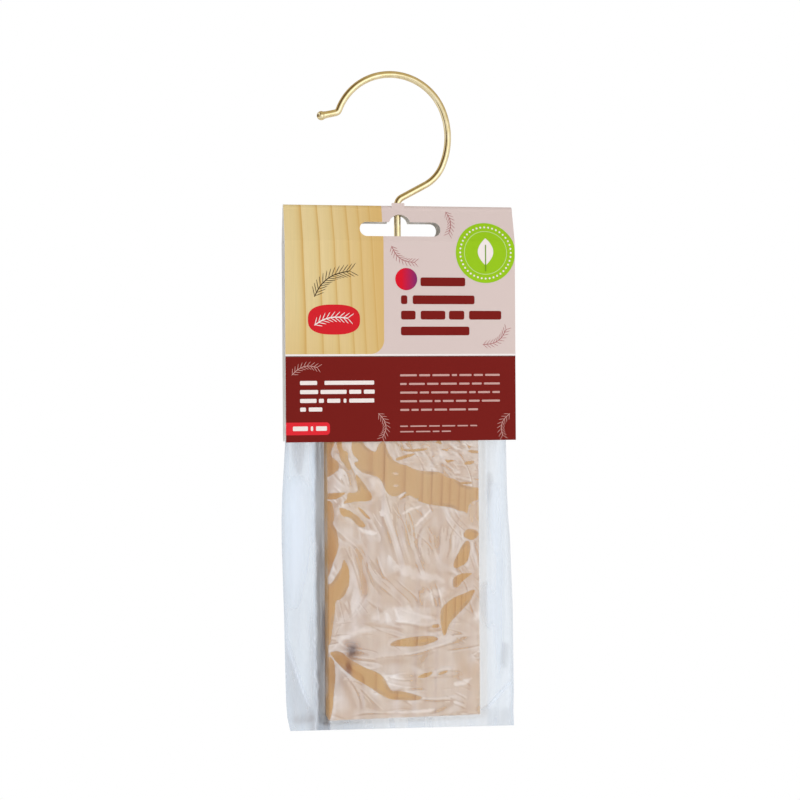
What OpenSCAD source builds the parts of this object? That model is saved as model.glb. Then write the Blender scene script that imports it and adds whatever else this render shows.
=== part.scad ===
// Cedar hanger block in its hanging pack.
// A flat cedar board carries a bent wire hook screwed into its top edge. The board stands
// loose in a clear film bag, and a folded header card with a hanging slot closes the bag.
// +Z is up and the front faces -Y. X = 0 is the axis of the hook's stem, Y = 0 the middle of
// the board's thickness, and Z = 0 the upper edge of the hanging slot.

/* [Board] */
// Width of the cedar board
board_w = 65; // [45:1:80]
// Height of the cedar board
board_h = 195; // [150:1:240]
// Thickness of the cedar board
board_t = 12; // [8:0.5:16]
// Radius of the sanded upright edges
board_edge_r = 0.6; // [0.2:0.1:2]
// How far the board's middle lies to the right of the hook's stem
board_shift = 1; // [0:0.5:6]
// Depth of the hole for the hook in the top edge
pilot_depth = 25; // [15:1:40]

/* [Hook] */
// Diameter of the hook's wire
wire_d = 2.8; // [2:0.1:3.6]
// Length of wire inside the board
shank_depth = 22; // [10:1:24]
// Turn of the neck, out of the stem to the right
neck_turn = 61.5; // [45:0.5:70]
// Inside radius of the neck's bend
neck_inner_r = 2.3; // [2:0.1:5]
// Straight length after the neck
lead_len = 11.5; // [8:0.5:15]
// Turn of the lower shoulder
shoulder_turn = 38; // [30:1:45]
// Inside radius of the lower shoulder
shoulder_inner_r = 15.6; // [12:0.1:20]
// Turn of the side above the shoulder
side_turn = 43; // [36:1:50]
// Inside radius of the side
side_inner_r = 29.6; // [24:0.1:34]
// Turn of the crown over the rail
crown_turn = 140; // [110:1:150]
// Inside diameter of the crown
crown_d = 45.2; // [38:0.1:52]
// Backward turn at the tip
tip_turn = 57; // [30:1:60]
// Inside radius of the tip's bend
tip_inner_r = 0.6; // [0.4:0.1:3]
// Straight length of the tip
tip_len = 6.2; // [4:0.1:10]
// Diameter of the ball on the tip
ball_d = 3.8; // [3.8:0.1:6]

/* [Header card] */
// Height of each panel, from the fold to the lower edge
card_h = 100; // [60:1:120]
// Thickness of the card
card_t = 0.4; // [0.25:0.05:0.8]
// Width of the card
card_w = 98.4; // [80:0.1:120]
// How far the card's middle lies to the right of the hook's stem
card_mid = 0.4; // [0:0.1:3]
// Width of the small tongue that stands in front of the stem
tongue_w = 5.5; // [4:0.1:10]
// Height of the tongue above the fold
tongue_h = 1; // [0.4:0.1:1]

/* [Hanging slot] */
// Length of the slot
slot_w = 34.6; // [28:0.1:40]
// Height of the slot's long part
slot_h = 6.2; // [5:0.1:8]
// Diameter of the dome in the slot's middle
dome_d = 9.5; // [9:0.1:11]
// Distance from the fold down to the slot's long part
slot_drop = 7.3; // [6:0.1:12]

/* [Film bag] */
// Thickness of the film
film_t = 0.1; // [0.05:0.01:0.2]
// Width of the bag to the left of the board
flange_left = 18.8; // [8:0.1:30]
// Width of the bag to the right of the board
flange_right = 16.2; // [8:0.1:30]
// Width over which the film slopes from the board's face to the flat flange
tent_w = 4.2; // [3:0.1:7]
// Height over which the film closes under the board
tent_h = 3; // [2:0.1:8]
// Height of the sealed seam at the bottom
seal_h = 3.4; // [1:0.1:4]
// Distance from the slot down to the mouth of the bag
mouth_drop = 2; // [0.5:0.1:6]

/* [Glue strips] */
// Width of each strip
glue_w = 55; // [20:1:60]
// Height of each strip
glue_h = 12; // [6:1:20]
// Thickness of each strip
glue_t = 0.15; // [0.05:0.05:0.4]
// Distance from the mouth of the bag down to the strip
glue_drop = 3; // [1:0.5:10]

/* [Fits] */
// How far the block can rise in the bag
lift = 6; // [2:0.5:12]
// Room left above the block when it is fully raised
lift_room = 0.5; // [0.3:0.1:2]
// Gap between the board and the film
slip = 0.3; // [0.2:0.1:1]
// Gap between the stem and the card
stem_gap = 0.3; // [0.2:0.1:1]
// Gap between the fold and the neck's bend
neck_gap = 0.3; // [0.3:0.1:2]
// Radial gap between the wire and its hole in the board
thread_gap = 0.05; // [0.02:0.01:0.1]

/* [Hidden] */
$fn = 96;
// Overlap of cutting shapes past the faces that they cut
cut = 1;
// Length and extra radius of the collar that closes a joint in the wire
joint_len = 0.1;
joint_swell = 0.01;

wire_r = wire_d / 2;

// Heights, from the slot outwards
fold_z = slot_drop;
slot_bottom_z = -slot_h;
mouth_z = slot_bottom_z - mouth_drop;
board_top_z = mouth_z - lift_room - lift;
board_bottom_z = board_top_z - board_h;
pouch_bottom_z = board_bottom_z - slip;
seal_top_z = pouch_bottom_z - tent_h;
bag_bottom_z = seal_top_z - seal_h;
card_bottom_z = fold_z - card_h;
neck_z = fold_z + neck_gap;
glue_top_z = mouth_z - glue_drop;

// Half thicknesses, from the middle of the board outwards
pouch_half = board_t / 2 + slip;
film_half = pouch_half + film_t;
card_half = film_half + glue_t;
fold_r = wire_r + stem_gap;

// Sides
board_left = board_shift - board_w / 2;
board_right = board_shift + board_w / 2;
bag_left = board_left - flange_left;
bag_right = board_right + flange_right;

// The hook's centre line from the foot of the shank to the ball:
// a run has a length, and a bend has a turn to the left and an inside radius.
HOOK_PATH = [
    ["run", neck_z - board_top_z + shank_depth],
    ["bend", -neck_turn, neck_inner_r],
    ["run", lead_len],
    ["bend", shoulder_turn, shoulder_inner_r],
    ["bend", side_turn, side_inner_r],
    ["bend", crown_turn, crown_d / 2],
    ["bend", -tip_turn, tip_inner_r],
    ["run", tip_len],
];

// Outline with round corners, its middle at the origin
module rounded_outline(w, h, r) {
    square([w - 2 * r, h], center = true);
    square([w, h - 2 * r], center = true);
    for (x = [-1, 1], y = [-1, 1])
        translate([x * (w / 2 - r), y * (h / 2 - r)]) circle(r);
}

// A bend of the wire to the left, from the origin along +X
module wire_bend(turn, r) {
    translate([0, r, 0])
        rotate(-90)
            rotate_extrude(angle = turn)
                translate([r, 0]) circle(d = wire_d);
}

// The steps of a wire path, each starting where the one before it ends. A collar a hair
// thicker than the wire closes each joint, and the ball closes the last one.
module wire_path(steps, i = 0) {
    if (i > 0 && i < len(steps))
        rotate([0, 90, 0]) cylinder(h = joint_len, r = wire_r + joint_swell, center = true);
    if (i == len(steps)) {
        sphere(d = ball_d);
    } else if (steps[i][0] == "run") {
        rotate([0, 90, 0]) cylinder(h = steps[i][1], d = wire_d);
        translate([steps[i][1], 0, 0]) wire_path(steps, i + 1);
    } else {
        side = sign(steps[i][1]);
        turn = abs(steps[i][1]);
        r = steps[i][2] + wire_r;
        mirror([0, side < 0 ? 1 : 0, 0]) wire_bend(turn, r);
        translate([r * sin(turn), side * r * (1 - cos(turn)), 0])
            rotate(side * turn) wire_path(steps, i + 1);
    }
}

// The board's section, raised along Z, with the hook's hole in its top edge
module board() {
    color("burlywood")
    difference() {
        translate([board_shift, 0, board_bottom_z])
            linear_extrude(board_h) rounded_outline(board_w, board_t, board_edge_r);
        translate([0, 0, board_top_z - pilot_depth])
            cylinder(h = pilot_depth + cut, r = wire_r + thread_gap);
    }
}

module hook() {
    color("gold")
    translate([0, 0, board_top_z - shank_depth])
        rotate([90, 0, 0]) rotate(90) wire_path(HOOK_PATH);
}

// Side profile of the folded card, filled in: a round fold, panels that spread apart to the
// bag's mouth and then run straight down. A margin of 0 is the inner face.
module card_profile(margin, bottom_z) {
    fold_z_mid = fold_z - card_t - fold_r;
    translate([0, fold_z_mid]) circle(fold_r + margin);
    polygon([
        [-fold_r - margin, fold_z_mid],
        [fold_r + margin, fold_z_mid],
        [card_half + margin, mouth_z],
        [card_half + margin, bottom_z],
        [-card_half - margin, bottom_z],
        [-card_half - margin, mouth_z]
    ]);
}

// The hanging slot seen from the front: a long slot with round ends and a dome on it
module slot_outline() {
    end_x = (slot_w - slot_h) / 2;
    translate([card_mid, slot_bottom_z + slot_h / 2]) {
        square([2 * end_x, slot_h], center = true);
        for (x = [-end_x, end_x])
            translate([x, 0]) circle(d = slot_h);
    }
    translate([card_mid, slot_bottom_z + dome_d / 2]) circle(d = dome_d);
}

module header_card() {
    reach = card_half + card_t + cut;
    color("rosybrown") {
        difference() {
            translate([card_mid - card_w / 2, 0, 0])
                rotate([90, 0, 90])
                    linear_extrude(card_w)
                        difference() {
                            card_profile(card_t, card_bottom_z);
                            card_profile(0, card_bottom_z - cut);
                        }
            translate([0, reach, 0])
                rotate([90, 0, 0]) linear_extrude(2 * reach) slot_outline();
            translate([0, 0, fold_z - card_t - fold_r])
                cylinder(h = fold_r + card_t + cut, r = fold_r);
        }
        translate([-tongue_w / 2, -fold_r - card_t, fold_z - card_t - fold_r])
            cube([tongue_w, card_t, fold_r + card_t + tongue_h]);
    }
}

// Plan section of the pouch: flat over the board, then sloping to the middle at the sides
module pouch_plan(half) {
    slope_w = tent_w * half / pouch_half;
    polygon([
        [board_left - slip - slope_w, 0],
        [board_left - slip, half],
        [board_right + slip, half],
        [board_right + slip + slope_w, 0],
        [board_right + slip, -half],
        [board_left - slip, -half]
    ]);
}

// Side section of the pouch: straight down past the board, then closing to the middle
module pouch_side(half, top_z) {
    polygon([
        [-half, top_z],
        [half, top_z],
        [half, pouch_bottom_z],
        [0, pouch_bottom_z - tent_h * half / pouch_half],
        [-half, pouch_bottom_z]
    ]);
}

// The pouch as a solid, to a given half thickness and up to a given height
module pouch(half, top_z) {
    intersection() {
        translate([0, 0, bag_bottom_z]) linear_extrude(top_z - bag_bottom_z) pouch_plan(half);
        translate([bag_left, 0, 0])
            rotate([90, 0, 90]) linear_extrude(bag_right - bag_left) pouch_side(half, top_z);
    }
}

// The film: a pouch open at its mouth, on two layers sealed flat round it
module bag() {
    color("lightblue", 0.4)
    difference() {
        union() {
            pouch(film_half, mouth_z);
            translate([bag_left, -film_t, bag_bottom_z])
                cube([bag_right - bag_left, 2 * film_t, mouth_z - bag_bottom_z]);
        }
        pouch(pouch_half, mouth_z + cut);
    }
}

// A strip of glue between the film and a panel; side is -1 in front and 1 behind
module glue_strip(side) {
    color("lightyellow")
    translate([board_shift - glue_w / 2, side > 0 ? film_half : -card_half, glue_top_z - glue_h])
        cube([glue_w, glue_t, glue_h]);
}

module front_glue_strip() {
    glue_strip(-1);
}

module rear_glue_strip() {
    glue_strip(1);
}

board();
hook();
header_card();
bag();
front_glue_strip();
rear_glue_strip();
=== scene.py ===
"""Looks of a cedar hanger block in its hanging pack: a cedar board on a brass-plated wire
hook, in a clear film bag that a folded and printed header card closes."""
import math

import bmesh
import bpy
import numpy as np
from mathutils import Matrix, Vector, noise


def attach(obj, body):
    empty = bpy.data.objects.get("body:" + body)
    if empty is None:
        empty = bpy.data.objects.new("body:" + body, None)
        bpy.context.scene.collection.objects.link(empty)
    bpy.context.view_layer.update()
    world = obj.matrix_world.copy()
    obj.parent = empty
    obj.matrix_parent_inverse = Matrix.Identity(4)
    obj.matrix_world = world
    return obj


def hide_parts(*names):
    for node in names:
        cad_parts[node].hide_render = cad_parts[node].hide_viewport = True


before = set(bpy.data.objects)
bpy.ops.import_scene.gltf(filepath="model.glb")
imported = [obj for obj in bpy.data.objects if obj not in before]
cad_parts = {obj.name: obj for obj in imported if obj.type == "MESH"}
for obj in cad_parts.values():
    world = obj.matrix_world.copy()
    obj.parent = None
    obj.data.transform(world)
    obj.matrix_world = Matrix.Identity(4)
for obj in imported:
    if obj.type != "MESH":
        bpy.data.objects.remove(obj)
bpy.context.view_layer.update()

# Camera. The pack is seen from a little to its left, level with the card's lower edge, and
# turned by a fraction of a degree in the picture.
MM = 0.001
AZIMUTH = math.radians(-9.527)
ELEVATION = math.radians(0.447)
ROLL = math.radians(-0.372)
CAMERA_TARGET = Vector((0.66, 0, -75.36)) * MM
CAMERA_DISTANCE = 666.8 * MM
CAMERA_LENS = 70.36
CAMERA_SENSOR = 36

look = Vector((
    -math.sin(AZIMUTH) * math.cos(ELEVATION),
    math.cos(AZIMUTH) * math.cos(ELEVATION),
    -math.sin(ELEVATION),
))
level_right = look.cross(Vector((0, 0, 1))).normalized()
level_up = level_right.cross(look)
camera_right = math.cos(ROLL) * level_right + math.sin(ROLL) * level_up
camera_up = math.cos(ROLL) * level_up - math.sin(ROLL) * level_right

camera_data = bpy.data.cameras.new("photo_camera")
camera_data.lens = CAMERA_LENS
camera_data.sensor_width = CAMERA_SENSOR
camera = bpy.data.objects.new("photo_camera", camera_data)
camera.matrix_world = Matrix.Translation(CAMERA_TARGET - CAMERA_DISTANCE * look) @ Matrix(
    (camera_right, camera_up, -look)
).transposed().to_4x4()
bpy.context.scene.collection.objects.link(camera)
bpy.context.scene.camera = camera
bpy.context.scene.view_settings.view_transform = "Standard"

# Board. A planed cedar board, 195 x 65 x 12 mm, sawn beside the heart of the log, so its growth
# rings stand wide on the left and close together on the right. It is raw wood with one knot.
BOARD_LEFT, BOARD_RIGHT = -31.5, 33.5
BOARD_BOTTOM = -209.7
BOARD_HALF = 6.0
# The log's heart stands behind the board. A ring's radius there is in mm, at the level given,
# and a ring leans to the right upwards.
HEART_X, HEART_Y = -33.0, 60.0
RING_LEAN = 0.040
RING_LEVEL = -105.0
RING_SWAY = 1.5
RING_SPAN = (52.0, 104.0)
RINGS = [55.6, 62.3, 66.4, 69.2, 71.1, 74.7, 78.6, 81.0, 83.6, 85.8, 88.3, 90.1, 91.3, 93.4]
KNOT = (-21.5, -180.4)
# Dark streaks below the knot: place, narrowness along X, Y and Z, and darkness
STREAKS = [((-23.0, -188.2), (0.62, 1.0, 0.26), 0.80), ((-28.0, -190.0), (0.24, 1.0, 0.10), 0.36)]


def linear(colour):
    """Linear RGBA of an sRGB hex colour."""
    parts = [int(colour[i:i + 2], 16) / 255 for i in (1, 3, 5)]
    return [c / 12.92 if c <= 0.04045 else ((c + 0.055) / 1.055) ** 2.4 for c in parts] + [1.0]


def add_node(tree, kind, inputs=None, **settings):
    """Adds a node. Each input is set by its name or number: to a value, to an sRGB hex colour,
    from a socket, or from a node's first output in use. Map Range takes a value and then the
    limits from and to, and Mix takes colours as 6 and 7, and numbers as 2 and 3."""
    node = tree.nodes.new(kind if "Node" in kind else "ShaderNode" + kind)
    for name, value in settings.items():
        setattr(node, name, value)
    for key, value in (inputs or {}).items():
        if isinstance(value, bpy.types.Node):
            value = next(socket for socket in value.outputs if socket.enabled)
        if isinstance(value, bpy.types.NodeSocket):
            tree.links.new(value, node.inputs[key])
        else:
            node.inputs[key].default_value = linear(value) if isinstance(value, str) else value
    return node


def start_material(name):
    """A new material and its emptied node tree."""
    material = bpy.data.materials.new(name)
    material.use_nodes = True
    material.node_tree.nodes.clear()
    return material, material.node_tree


def measured_in_mm(tree):
    """The place on a piece in mm, so that a pattern's scale is set for each mm."""
    place = add_node(tree, "TexCoord").outputs["Object"]
    return add_node(tree, "VectorMath", {0: place, 1: (1000, 1000, 1000)}, operation="MULTIPLY")


def dress(node_name, material):
    """Gives a CAD node its finish."""
    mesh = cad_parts[node_name].data
    mesh.materials.clear()
    mesh.materials.append(material)


def fill_ramp(ramp, stops):
    """Sets a colour ramp's stops from (position, hex colour) pairs."""
    stops = sorted(stops)
    while len(ramp.elements) > 1:
        ramp.elements.remove(ramp.elements[-1])
    ramp.elements[0].position = stops[0][0]
    ramp.elements[0].color = linear(stops[0][1])
    for position, colour in stops[1:]:
        ramp.elements.new(position).color = linear(colour)


def saw_teeth(span, marks, softness):
    """Ramp stops that rise from black to white towards each mark, and then drop, over a span."""
    stops = []
    start, end = span
    for low, high in zip([start] + marks, marks + [end]):
        stops.append(((low + softness - start) / (end - start), "#000000"))
        if high < end:
            stops.append(((high - softness - start) / (end - start), "#FFFFFF"))
    return stops


# Planed cedar: even, almost satin, with a soft sheen. Pale early wood darkens slowly to a
# thin red-brown line of late wood, and then jumps back to pale.
cedar, tree = start_material("planed_cedar")
in_mm = measured_in_mm(tree)
split = add_node(tree, "SeparateXYZ", {0: in_mm})
# Slow waves in the rings, about 20 mm across and 110 mm along the grain
sway = add_node(tree, "TexNoise", {
    "Vector": add_node(tree, "VectorMath", {0: in_mm, 1: (0.05, 0.05, 0.009)}, operation="MULTIPLY"),
    "Scale": 1.0, "Detail": 2.0,
})
level = add_node(tree, "Math", {0: split.outputs["Z"], 1: RING_LEVEL}, operation="SUBTRACT")
lean = add_node(tree, "Math", {0: level, 1: -RING_LEAN, 2: split.outputs["X"]}, operation="MULTIPLY_ADD")
from_heart = add_node(tree, "CombineXYZ", {0: lean, 1: split.outputs["Y"]})
radius = add_node(tree, "VectorMath", {0: from_heart, 1: (HEART_X, HEART_Y, 0)}, operation="DISTANCE")
# The rings bend round the knot, by up to 2.4 mm and out to 12 mm
knot_way = add_node(tree, "CombineXYZ", {0: split.outputs["X"], 2: split.outputs["Z"]})
knot_offset = add_node(tree, "VectorMath", {0: knot_way, 1: (KNOT[0], 0, KNOT[1])}, operation="SUBTRACT")
knot_shape = add_node(tree, "VectorMath", {0: knot_offset, 1: (1.0, 1.0, 0.72)}, operation="MULTIPLY")
knot_far = add_node(tree, "VectorMath", {0: knot_shape}, operation="LENGTH")
pull = add_node(tree, "MapRange", {
    0: knot_far, 1: 1.0, 2: 12.0, 3: 2.4, 4: 0.0,
}, interpolation_type="SMOOTHERSTEP")
swayed = add_node(tree, "Math", {0: sway, 1: RING_SWAY, 2: radius}, operation="MULTIPLY_ADD")
pulled = add_node(tree, "Math", {0: swayed, 1: pull})
ring_place = add_node(tree, "MapRange", {
    0: pulled, 1: RING_SPAN[0] + RING_SWAY / 2, 2: RING_SPAN[1] + RING_SWAY / 2,
})
season = add_node(tree, "ValToRGB", {0: ring_place})
fill_ramp(season.color_ramp, saw_teeth(RING_SPAN, RINGS, 0.16))
# Fibres, about 0.5 mm wide and 30 mm long
fibre = add_node(tree, "TexNoise", {
    "Vector": add_node(tree, "VectorMath", {0: in_mm, 1: (2.2, 2.2, 0.035)}, operation="MULTIPLY"),
    "Scale": 1.0, "Detail": 4.0, "Roughness": 0.6,
})
# A ring's line is darker and paler by turns, every 80 mm or so along it
vigour = add_node(tree, "TexNoise", {
    "Vector": add_node(tree, "VectorMath", {0: in_mm, 1: (0.25, 0.05, 0.012)}, operation="MULTIPLY"),
    "Scale": 1.0, "Detail": 1.0,
})
vigour_share = add_node(tree, "MapRange", {0: vigour, 1: 0.35, 2: 0.62, 3: 0.86, 4: 1.0})
ringed = add_node(tree, "Math", {0: season, 1: vigour_share}, operation="MULTIPLY")
frayed = add_node(tree, "Math", {0: fibre, 1: 0.16, 2: ringed}, operation="MULTIPLY_ADD")
late = add_node(tree, "Math", {0: frayed, 1: 0.08}, operation="SUBTRACT", use_clamp=True)
growth = add_node(tree, "ValToRGB", {0: late})
fill_ramp(growth.color_ramp, [(0.0, "#C6A272"), (0.62, "#C39E6E"), (0.83, "#BA9060"), (0.94, "#A6794B"),
                              (1.0, "#92663F")])
fibre_tone = add_node(tree, "MapRange", {0: fibre, 1: 0.25, 2: 0.75, 3: 0.93, 4: 1.06})
toned = add_node(tree, "Mix", {0: 1.0, 6: growth, 7: fibre_tone}, data_type="RGBA", blend_type="MULTIPLY")
# Warmer clouds, about 17 mm wide and 50 mm long
cloud = add_node(tree, "TexNoise", {
    "Vector": add_node(tree, "VectorMath", {0: in_mm, 1: (0.06, 0.06, 0.02)}, operation="MULTIPLY"),
    "Scale": 1.0, "Detail": 2.0,
})
warmth = add_node(tree, "MapRange", {0: cloud, 1: 0.35, 2: 0.7, 3: 0.0, 4: 0.45})
warm = add_node(tree, "Mix", {0: warmth, 6: toned, 7: "#BC8A50"}, data_type="RGBA")
# The knot: a dark eye with a ragged edge, a brown halo, and dark streaks below it
knot_noise = add_node(tree, "TexNoise", {"Vector": in_mm, "Scale": 0.9, "Detail": 3.0})
knot_ragged = add_node(tree, "Math", {0: knot_noise, 1: 1.6, 2: knot_far}, operation="MULTIPLY_ADD")
halo_mask = add_node(tree, "MapRange", {
    0: knot_ragged, 1: 2.0, 2: 6.4, 3: 0.60, 4: 0.0,
}, interpolation_type="SMOOTHSTEP")
haloed = add_node(tree, "Mix", {0: halo_mask, 6: warm, 7: "#865A48"}, data_type="RGBA")
knot_mask = add_node(tree, "MapRange", {
    0: knot_ragged, 1: 1.2, 2: 4.0, 3: 0.92, 4: 0.0,
}, interpolation_type="SMOOTHSTEP")
wood = add_node(tree, "Mix", {0: knot_mask, 6: haloed, 7: "#4E2C22"}, data_type="RGBA")
for streak_at, streak_size, streak_dark in STREAKS:
    streak_offset = add_node(tree, "VectorMath", {
        0: knot_way, 1: (streak_at[0], 0, streak_at[1]),
    }, operation="SUBTRACT")
    streak_shape = add_node(tree, "VectorMath", {0: streak_offset, 1: streak_size}, operation="MULTIPLY")
    streak_far = add_node(tree, "VectorMath", {0: streak_shape}, operation="LENGTH")
    streak_mask = add_node(tree, "MapRange", {
        0: streak_far, 1: 0.3, 2: 1.4, 3: streak_dark, 4: 0.0,
    }, interpolation_type="SMOOTHSTEP")
    wood = add_node(tree, "Mix", {0: streak_mask, 6: wood, 7: "#7A4526"}, data_type="RGBA")
relief = add_node(tree, "Bump", {"Height": fibre, "Strength": 0.25, "Distance": 0.00012})
skin = add_node(tree, "BsdfPrincipled", {"Base Color": wood, "Roughness": 0.62, "Normal": relief})
add_node(tree, "OutputMaterial", {0: skin})
dress("board", cedar)

# Hook. One length of steel wire, 2.8 mm thick, cold bent and then brass plated. Its foot is
# screwed into the board, and its tip is upset to a ball with a small dimple in its end.
WIRE_R = 1.4
BALL_R = 1.9
FOOT_Z, NECK_Z = -36.7, 7.6
# A run has a length; a bend has a turn in degrees, to the left if positive, and a radius.
HOOK_STEPS = [
    ("run", NECK_Z - FOOT_Z), ("bend", -61.5, 3.7), ("run", 11.5), ("bend", 38, 17.0),
    ("bend", 43, 31.0), ("bend", 140, 24.0), ("bend", -57, 2.0), ("run", 6.2),
]
RUN_STEP = 2.0
BEND_STEP = math.radians(3)
WIRE_SIDES = 32
# The wire swells over its last 3.8 mm. Distances are from the ball's middle, and the ball's
# outline is given by angles from the wire's heading.
UPSET_LENGTH = 3.8
SWELLING = [(-3.2, 1.40), (-2.4, 1.42), (-1.9, 1.46), (-1.5, 1.52)]
BALL_ANGLES = range(124, 3, -8)
BALL_SKIN = 1.02 * BALL_R
DIMPLE_WAY = (-0.80, -0.60, 0.05)
DIMPLE_DEPTH, DIMPLE_REACH = 0.75, 36


def wire_line():
    """Points and headings of the wire's centre line, in mm, in the plane Y = 0."""
    x, z, heading = 0.0, FOOT_Z, math.pi / 2
    line = [(x, z, heading)]
    for step in HOOK_STEPS:
        if step[0] == "run":
            count = max(2, round(step[1] / RUN_STEP))
            for i in range(count):
                x += step[1] / count * math.cos(heading)
                z += step[1] / count * math.sin(heading)
                line.append((x, z, heading))
        else:
            turn, bend_r = math.radians(step[1]), step[2]
            side = math.copysign(1, turn)
            centre_x = x - side * bend_r * math.sin(heading)
            centre_z = z + side * bend_r * math.cos(heading)
            count = max(2, math.ceil(abs(turn) / BEND_STEP))
            for i in range(count):
                heading += turn / count
                x = centre_x + side * bend_r * math.sin(heading)
                z = centre_z - side * bend_r * math.cos(heading)
                line.append((x, z, heading))
    return line


def build_mesh(name, points, faces, material):
    """A mesh object at the origin from points in mm, linked to the scene."""
    mesh = bpy.data.meshes.new(name)
    mesh.from_pydata([(x * MM, y * MM, z * MM) for x, y, z in points], [], faces)
    mesh.update()
    for face in mesh.polygons:
        face.use_smooth = True
    obj = bpy.data.objects.new(name, mesh)
    bpy.context.scene.collection.objects.link(obj)
    obj.data.materials.append(material)
    return obj


def sweep(rings_along, sides):
    """Points and faces of a closed tube through rings of (x, z, heading, radius)."""
    points, faces = [], []
    for x, z, heading, ring_r in rings_along:
        for k in range(sides):
            angle = 2 * math.pi * k / sides
            out = ring_r * math.cos(angle)
            points.append((x - out * math.sin(heading), ring_r * math.sin(angle),
                           z + out * math.cos(heading)))
    for i in range(len(rings_along) - 1):
        for k in range(sides):
            a, b = i * sides + k, i * sides + (k + 1) % sides
            faces.append((a, b, b + sides, a + sides))
    faces.append(tuple(range(sides)))
    faces.append(tuple(reversed(range((len(rings_along) - 1) * sides, len(rings_along) * sides))))
    return points, faces


# Brass plate on drawn wire: pale gold, mirror-like, and wavy every 3 mm or so.
brass, tree = start_material("brass_plate")
in_mm = measured_in_mm(tree)
uneven = add_node(tree, "TexNoise", {"Vector": in_mm, "Scale": 0.35, "Detail": 3.0})
plate = add_node(tree, "ValToRGB", {0: uneven})
fill_ramp(plate.color_ramp, [(0.3, "#E3D19E"), (0.7, "#F1E4BE")])
polish = add_node(tree, "MapRange", {0: uneven, 1: 0.3, 2: 0.7, 3: 0.10, 4: 0.20})
dents = add_node(tree, "TexNoise", {"Vector": in_mm, "Scale": 0.30, "Detail": 1.0})
relief = add_node(tree, "Bump", {"Height": dents, "Strength": 0.14, "Distance": 0.0004})
metal = add_node(tree, "BsdfPrincipled", {
    "Base Color": plate, "Metallic": 1.0, "Roughness": polish, "Specular Tint": "#B8935A",
    "Normal": relief,
})
add_node(tree, "OutputMaterial", {0: metal})

line = wire_line()
tip_x, tip_z, tip_heading = line[-1]
rings_along = [(x, z, heading, WIRE_R) for x, z, heading in line[:-1]
               if math.hypot(x - tip_x, z - tip_z) > UPSET_LENGTH]
ball = [(BALL_R * math.cos(math.radians(a)), BALL_R * math.sin(math.radians(a))) for a in BALL_ANGLES]
for reach, ring_r in SWELLING + ball:
    rings_along.append((tip_x + reach * math.cos(tip_heading), tip_z + reach * math.sin(tip_heading),
                        tip_heading, ring_r))
points, faces = sweep(rings_along, WIRE_SIDES)
dimple = Vector(DIMPLE_WAY).normalized()
for i, point in enumerate(points):
    out = Vector(point) - Vector((tip_x, 0, tip_z))
    if out.length < BALL_SKIN:
        aside = math.degrees(out.angle(dimple))
        depth = DIMPLE_DEPTH * max(0, 1 - (aside / DIMPLE_REACH) ** 2) ** 1.5
        points[i] = tuple(Vector(point) - dimple * depth)
wire = build_mesh("hook_wire", points, faces, brass)
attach(wire, "hook")
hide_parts("hook")

# Film bag. A flat bag of thin clear film, welded along its sides and bottom. The board
# stretches it, so it is full of creases: where it clings to the wood it is clear, and where it
# stands off it turns milky, a milkiness that also carries painted reflection of the bright
# room. Its creases get painted highlights and painted shade. Outlines are in mm, as (X, Z)
# seen from the front.
MOUTH_Z = -8.2
CARD_BOTTOM = -92.7
# From the board, the film slopes to the flat sides over TENT_W and to the seam over TENT_H
SLIP = 0.12
TENT_W = 4.4
TENT_H = 3.0
FILM_GAP = 0.12
FLANGE_LEFT, FLANGE_RIGHT = -50.3, 49.7
TENT_LEFT, TENT_RIGHT = BOARD_LEFT - TENT_W, BOARD_RIGHT + TENT_W
# The bag's side edges at some depths, and its lower edge at both of its ends
SIDE_DEPTHS = [8.2, 94.1, 114.6, 124.8, 135.1, 155.6, 165.8, 186.4, 201.8, 209.5, 216.5]
SIDE_LEFT = [-48.3, -48.6, -49.9, -50.3, -50.3, -49.8, -49.5, -49.2, -48.9, -48.4, -47.0]
SIDE_RIGHT = [46.6, 46.9, 47.2, 47.6, 48.4, 49.1, 49.5, 49.6, 49.7, 49.5, 49.7]
HEM_LEFT, HEM_RIGHT = -214.7, -216.4
# Rows of points: sparse behind the card, fine below it, and four in the seam
HIDDEN_ROW_STEP = 2.5
FINE_ROWS_TOP, FINE_ROWS_END = CARD_BOTTOM + 3, -213.2
SEAM_TOP, SEAM_BOTTOM, SEAM_ROWS = -213.4, -215.4, 4
HEM_TILTS_BELOW = -205.0
# Film this far from a clinging place stands off fully, by this much at most
CLING_FAR = 3.0
GREATEST_LIFT = 0.85
# Behind the card only this share of the milkiness and its painted sheen stays
MILK_AND_SHEEN_UNDER_CARD = 0.12
# The way to the light in the plane of the film, as (X, Z), for the painted light and shade on
# flanks
LIT_FROM = (0.85, 0.53)
# A bump exp(-u * u) has flanks u * exp(-u * u), which this brings to 1 where they are steepest
FLANK_SCALE = 2.3

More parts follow.
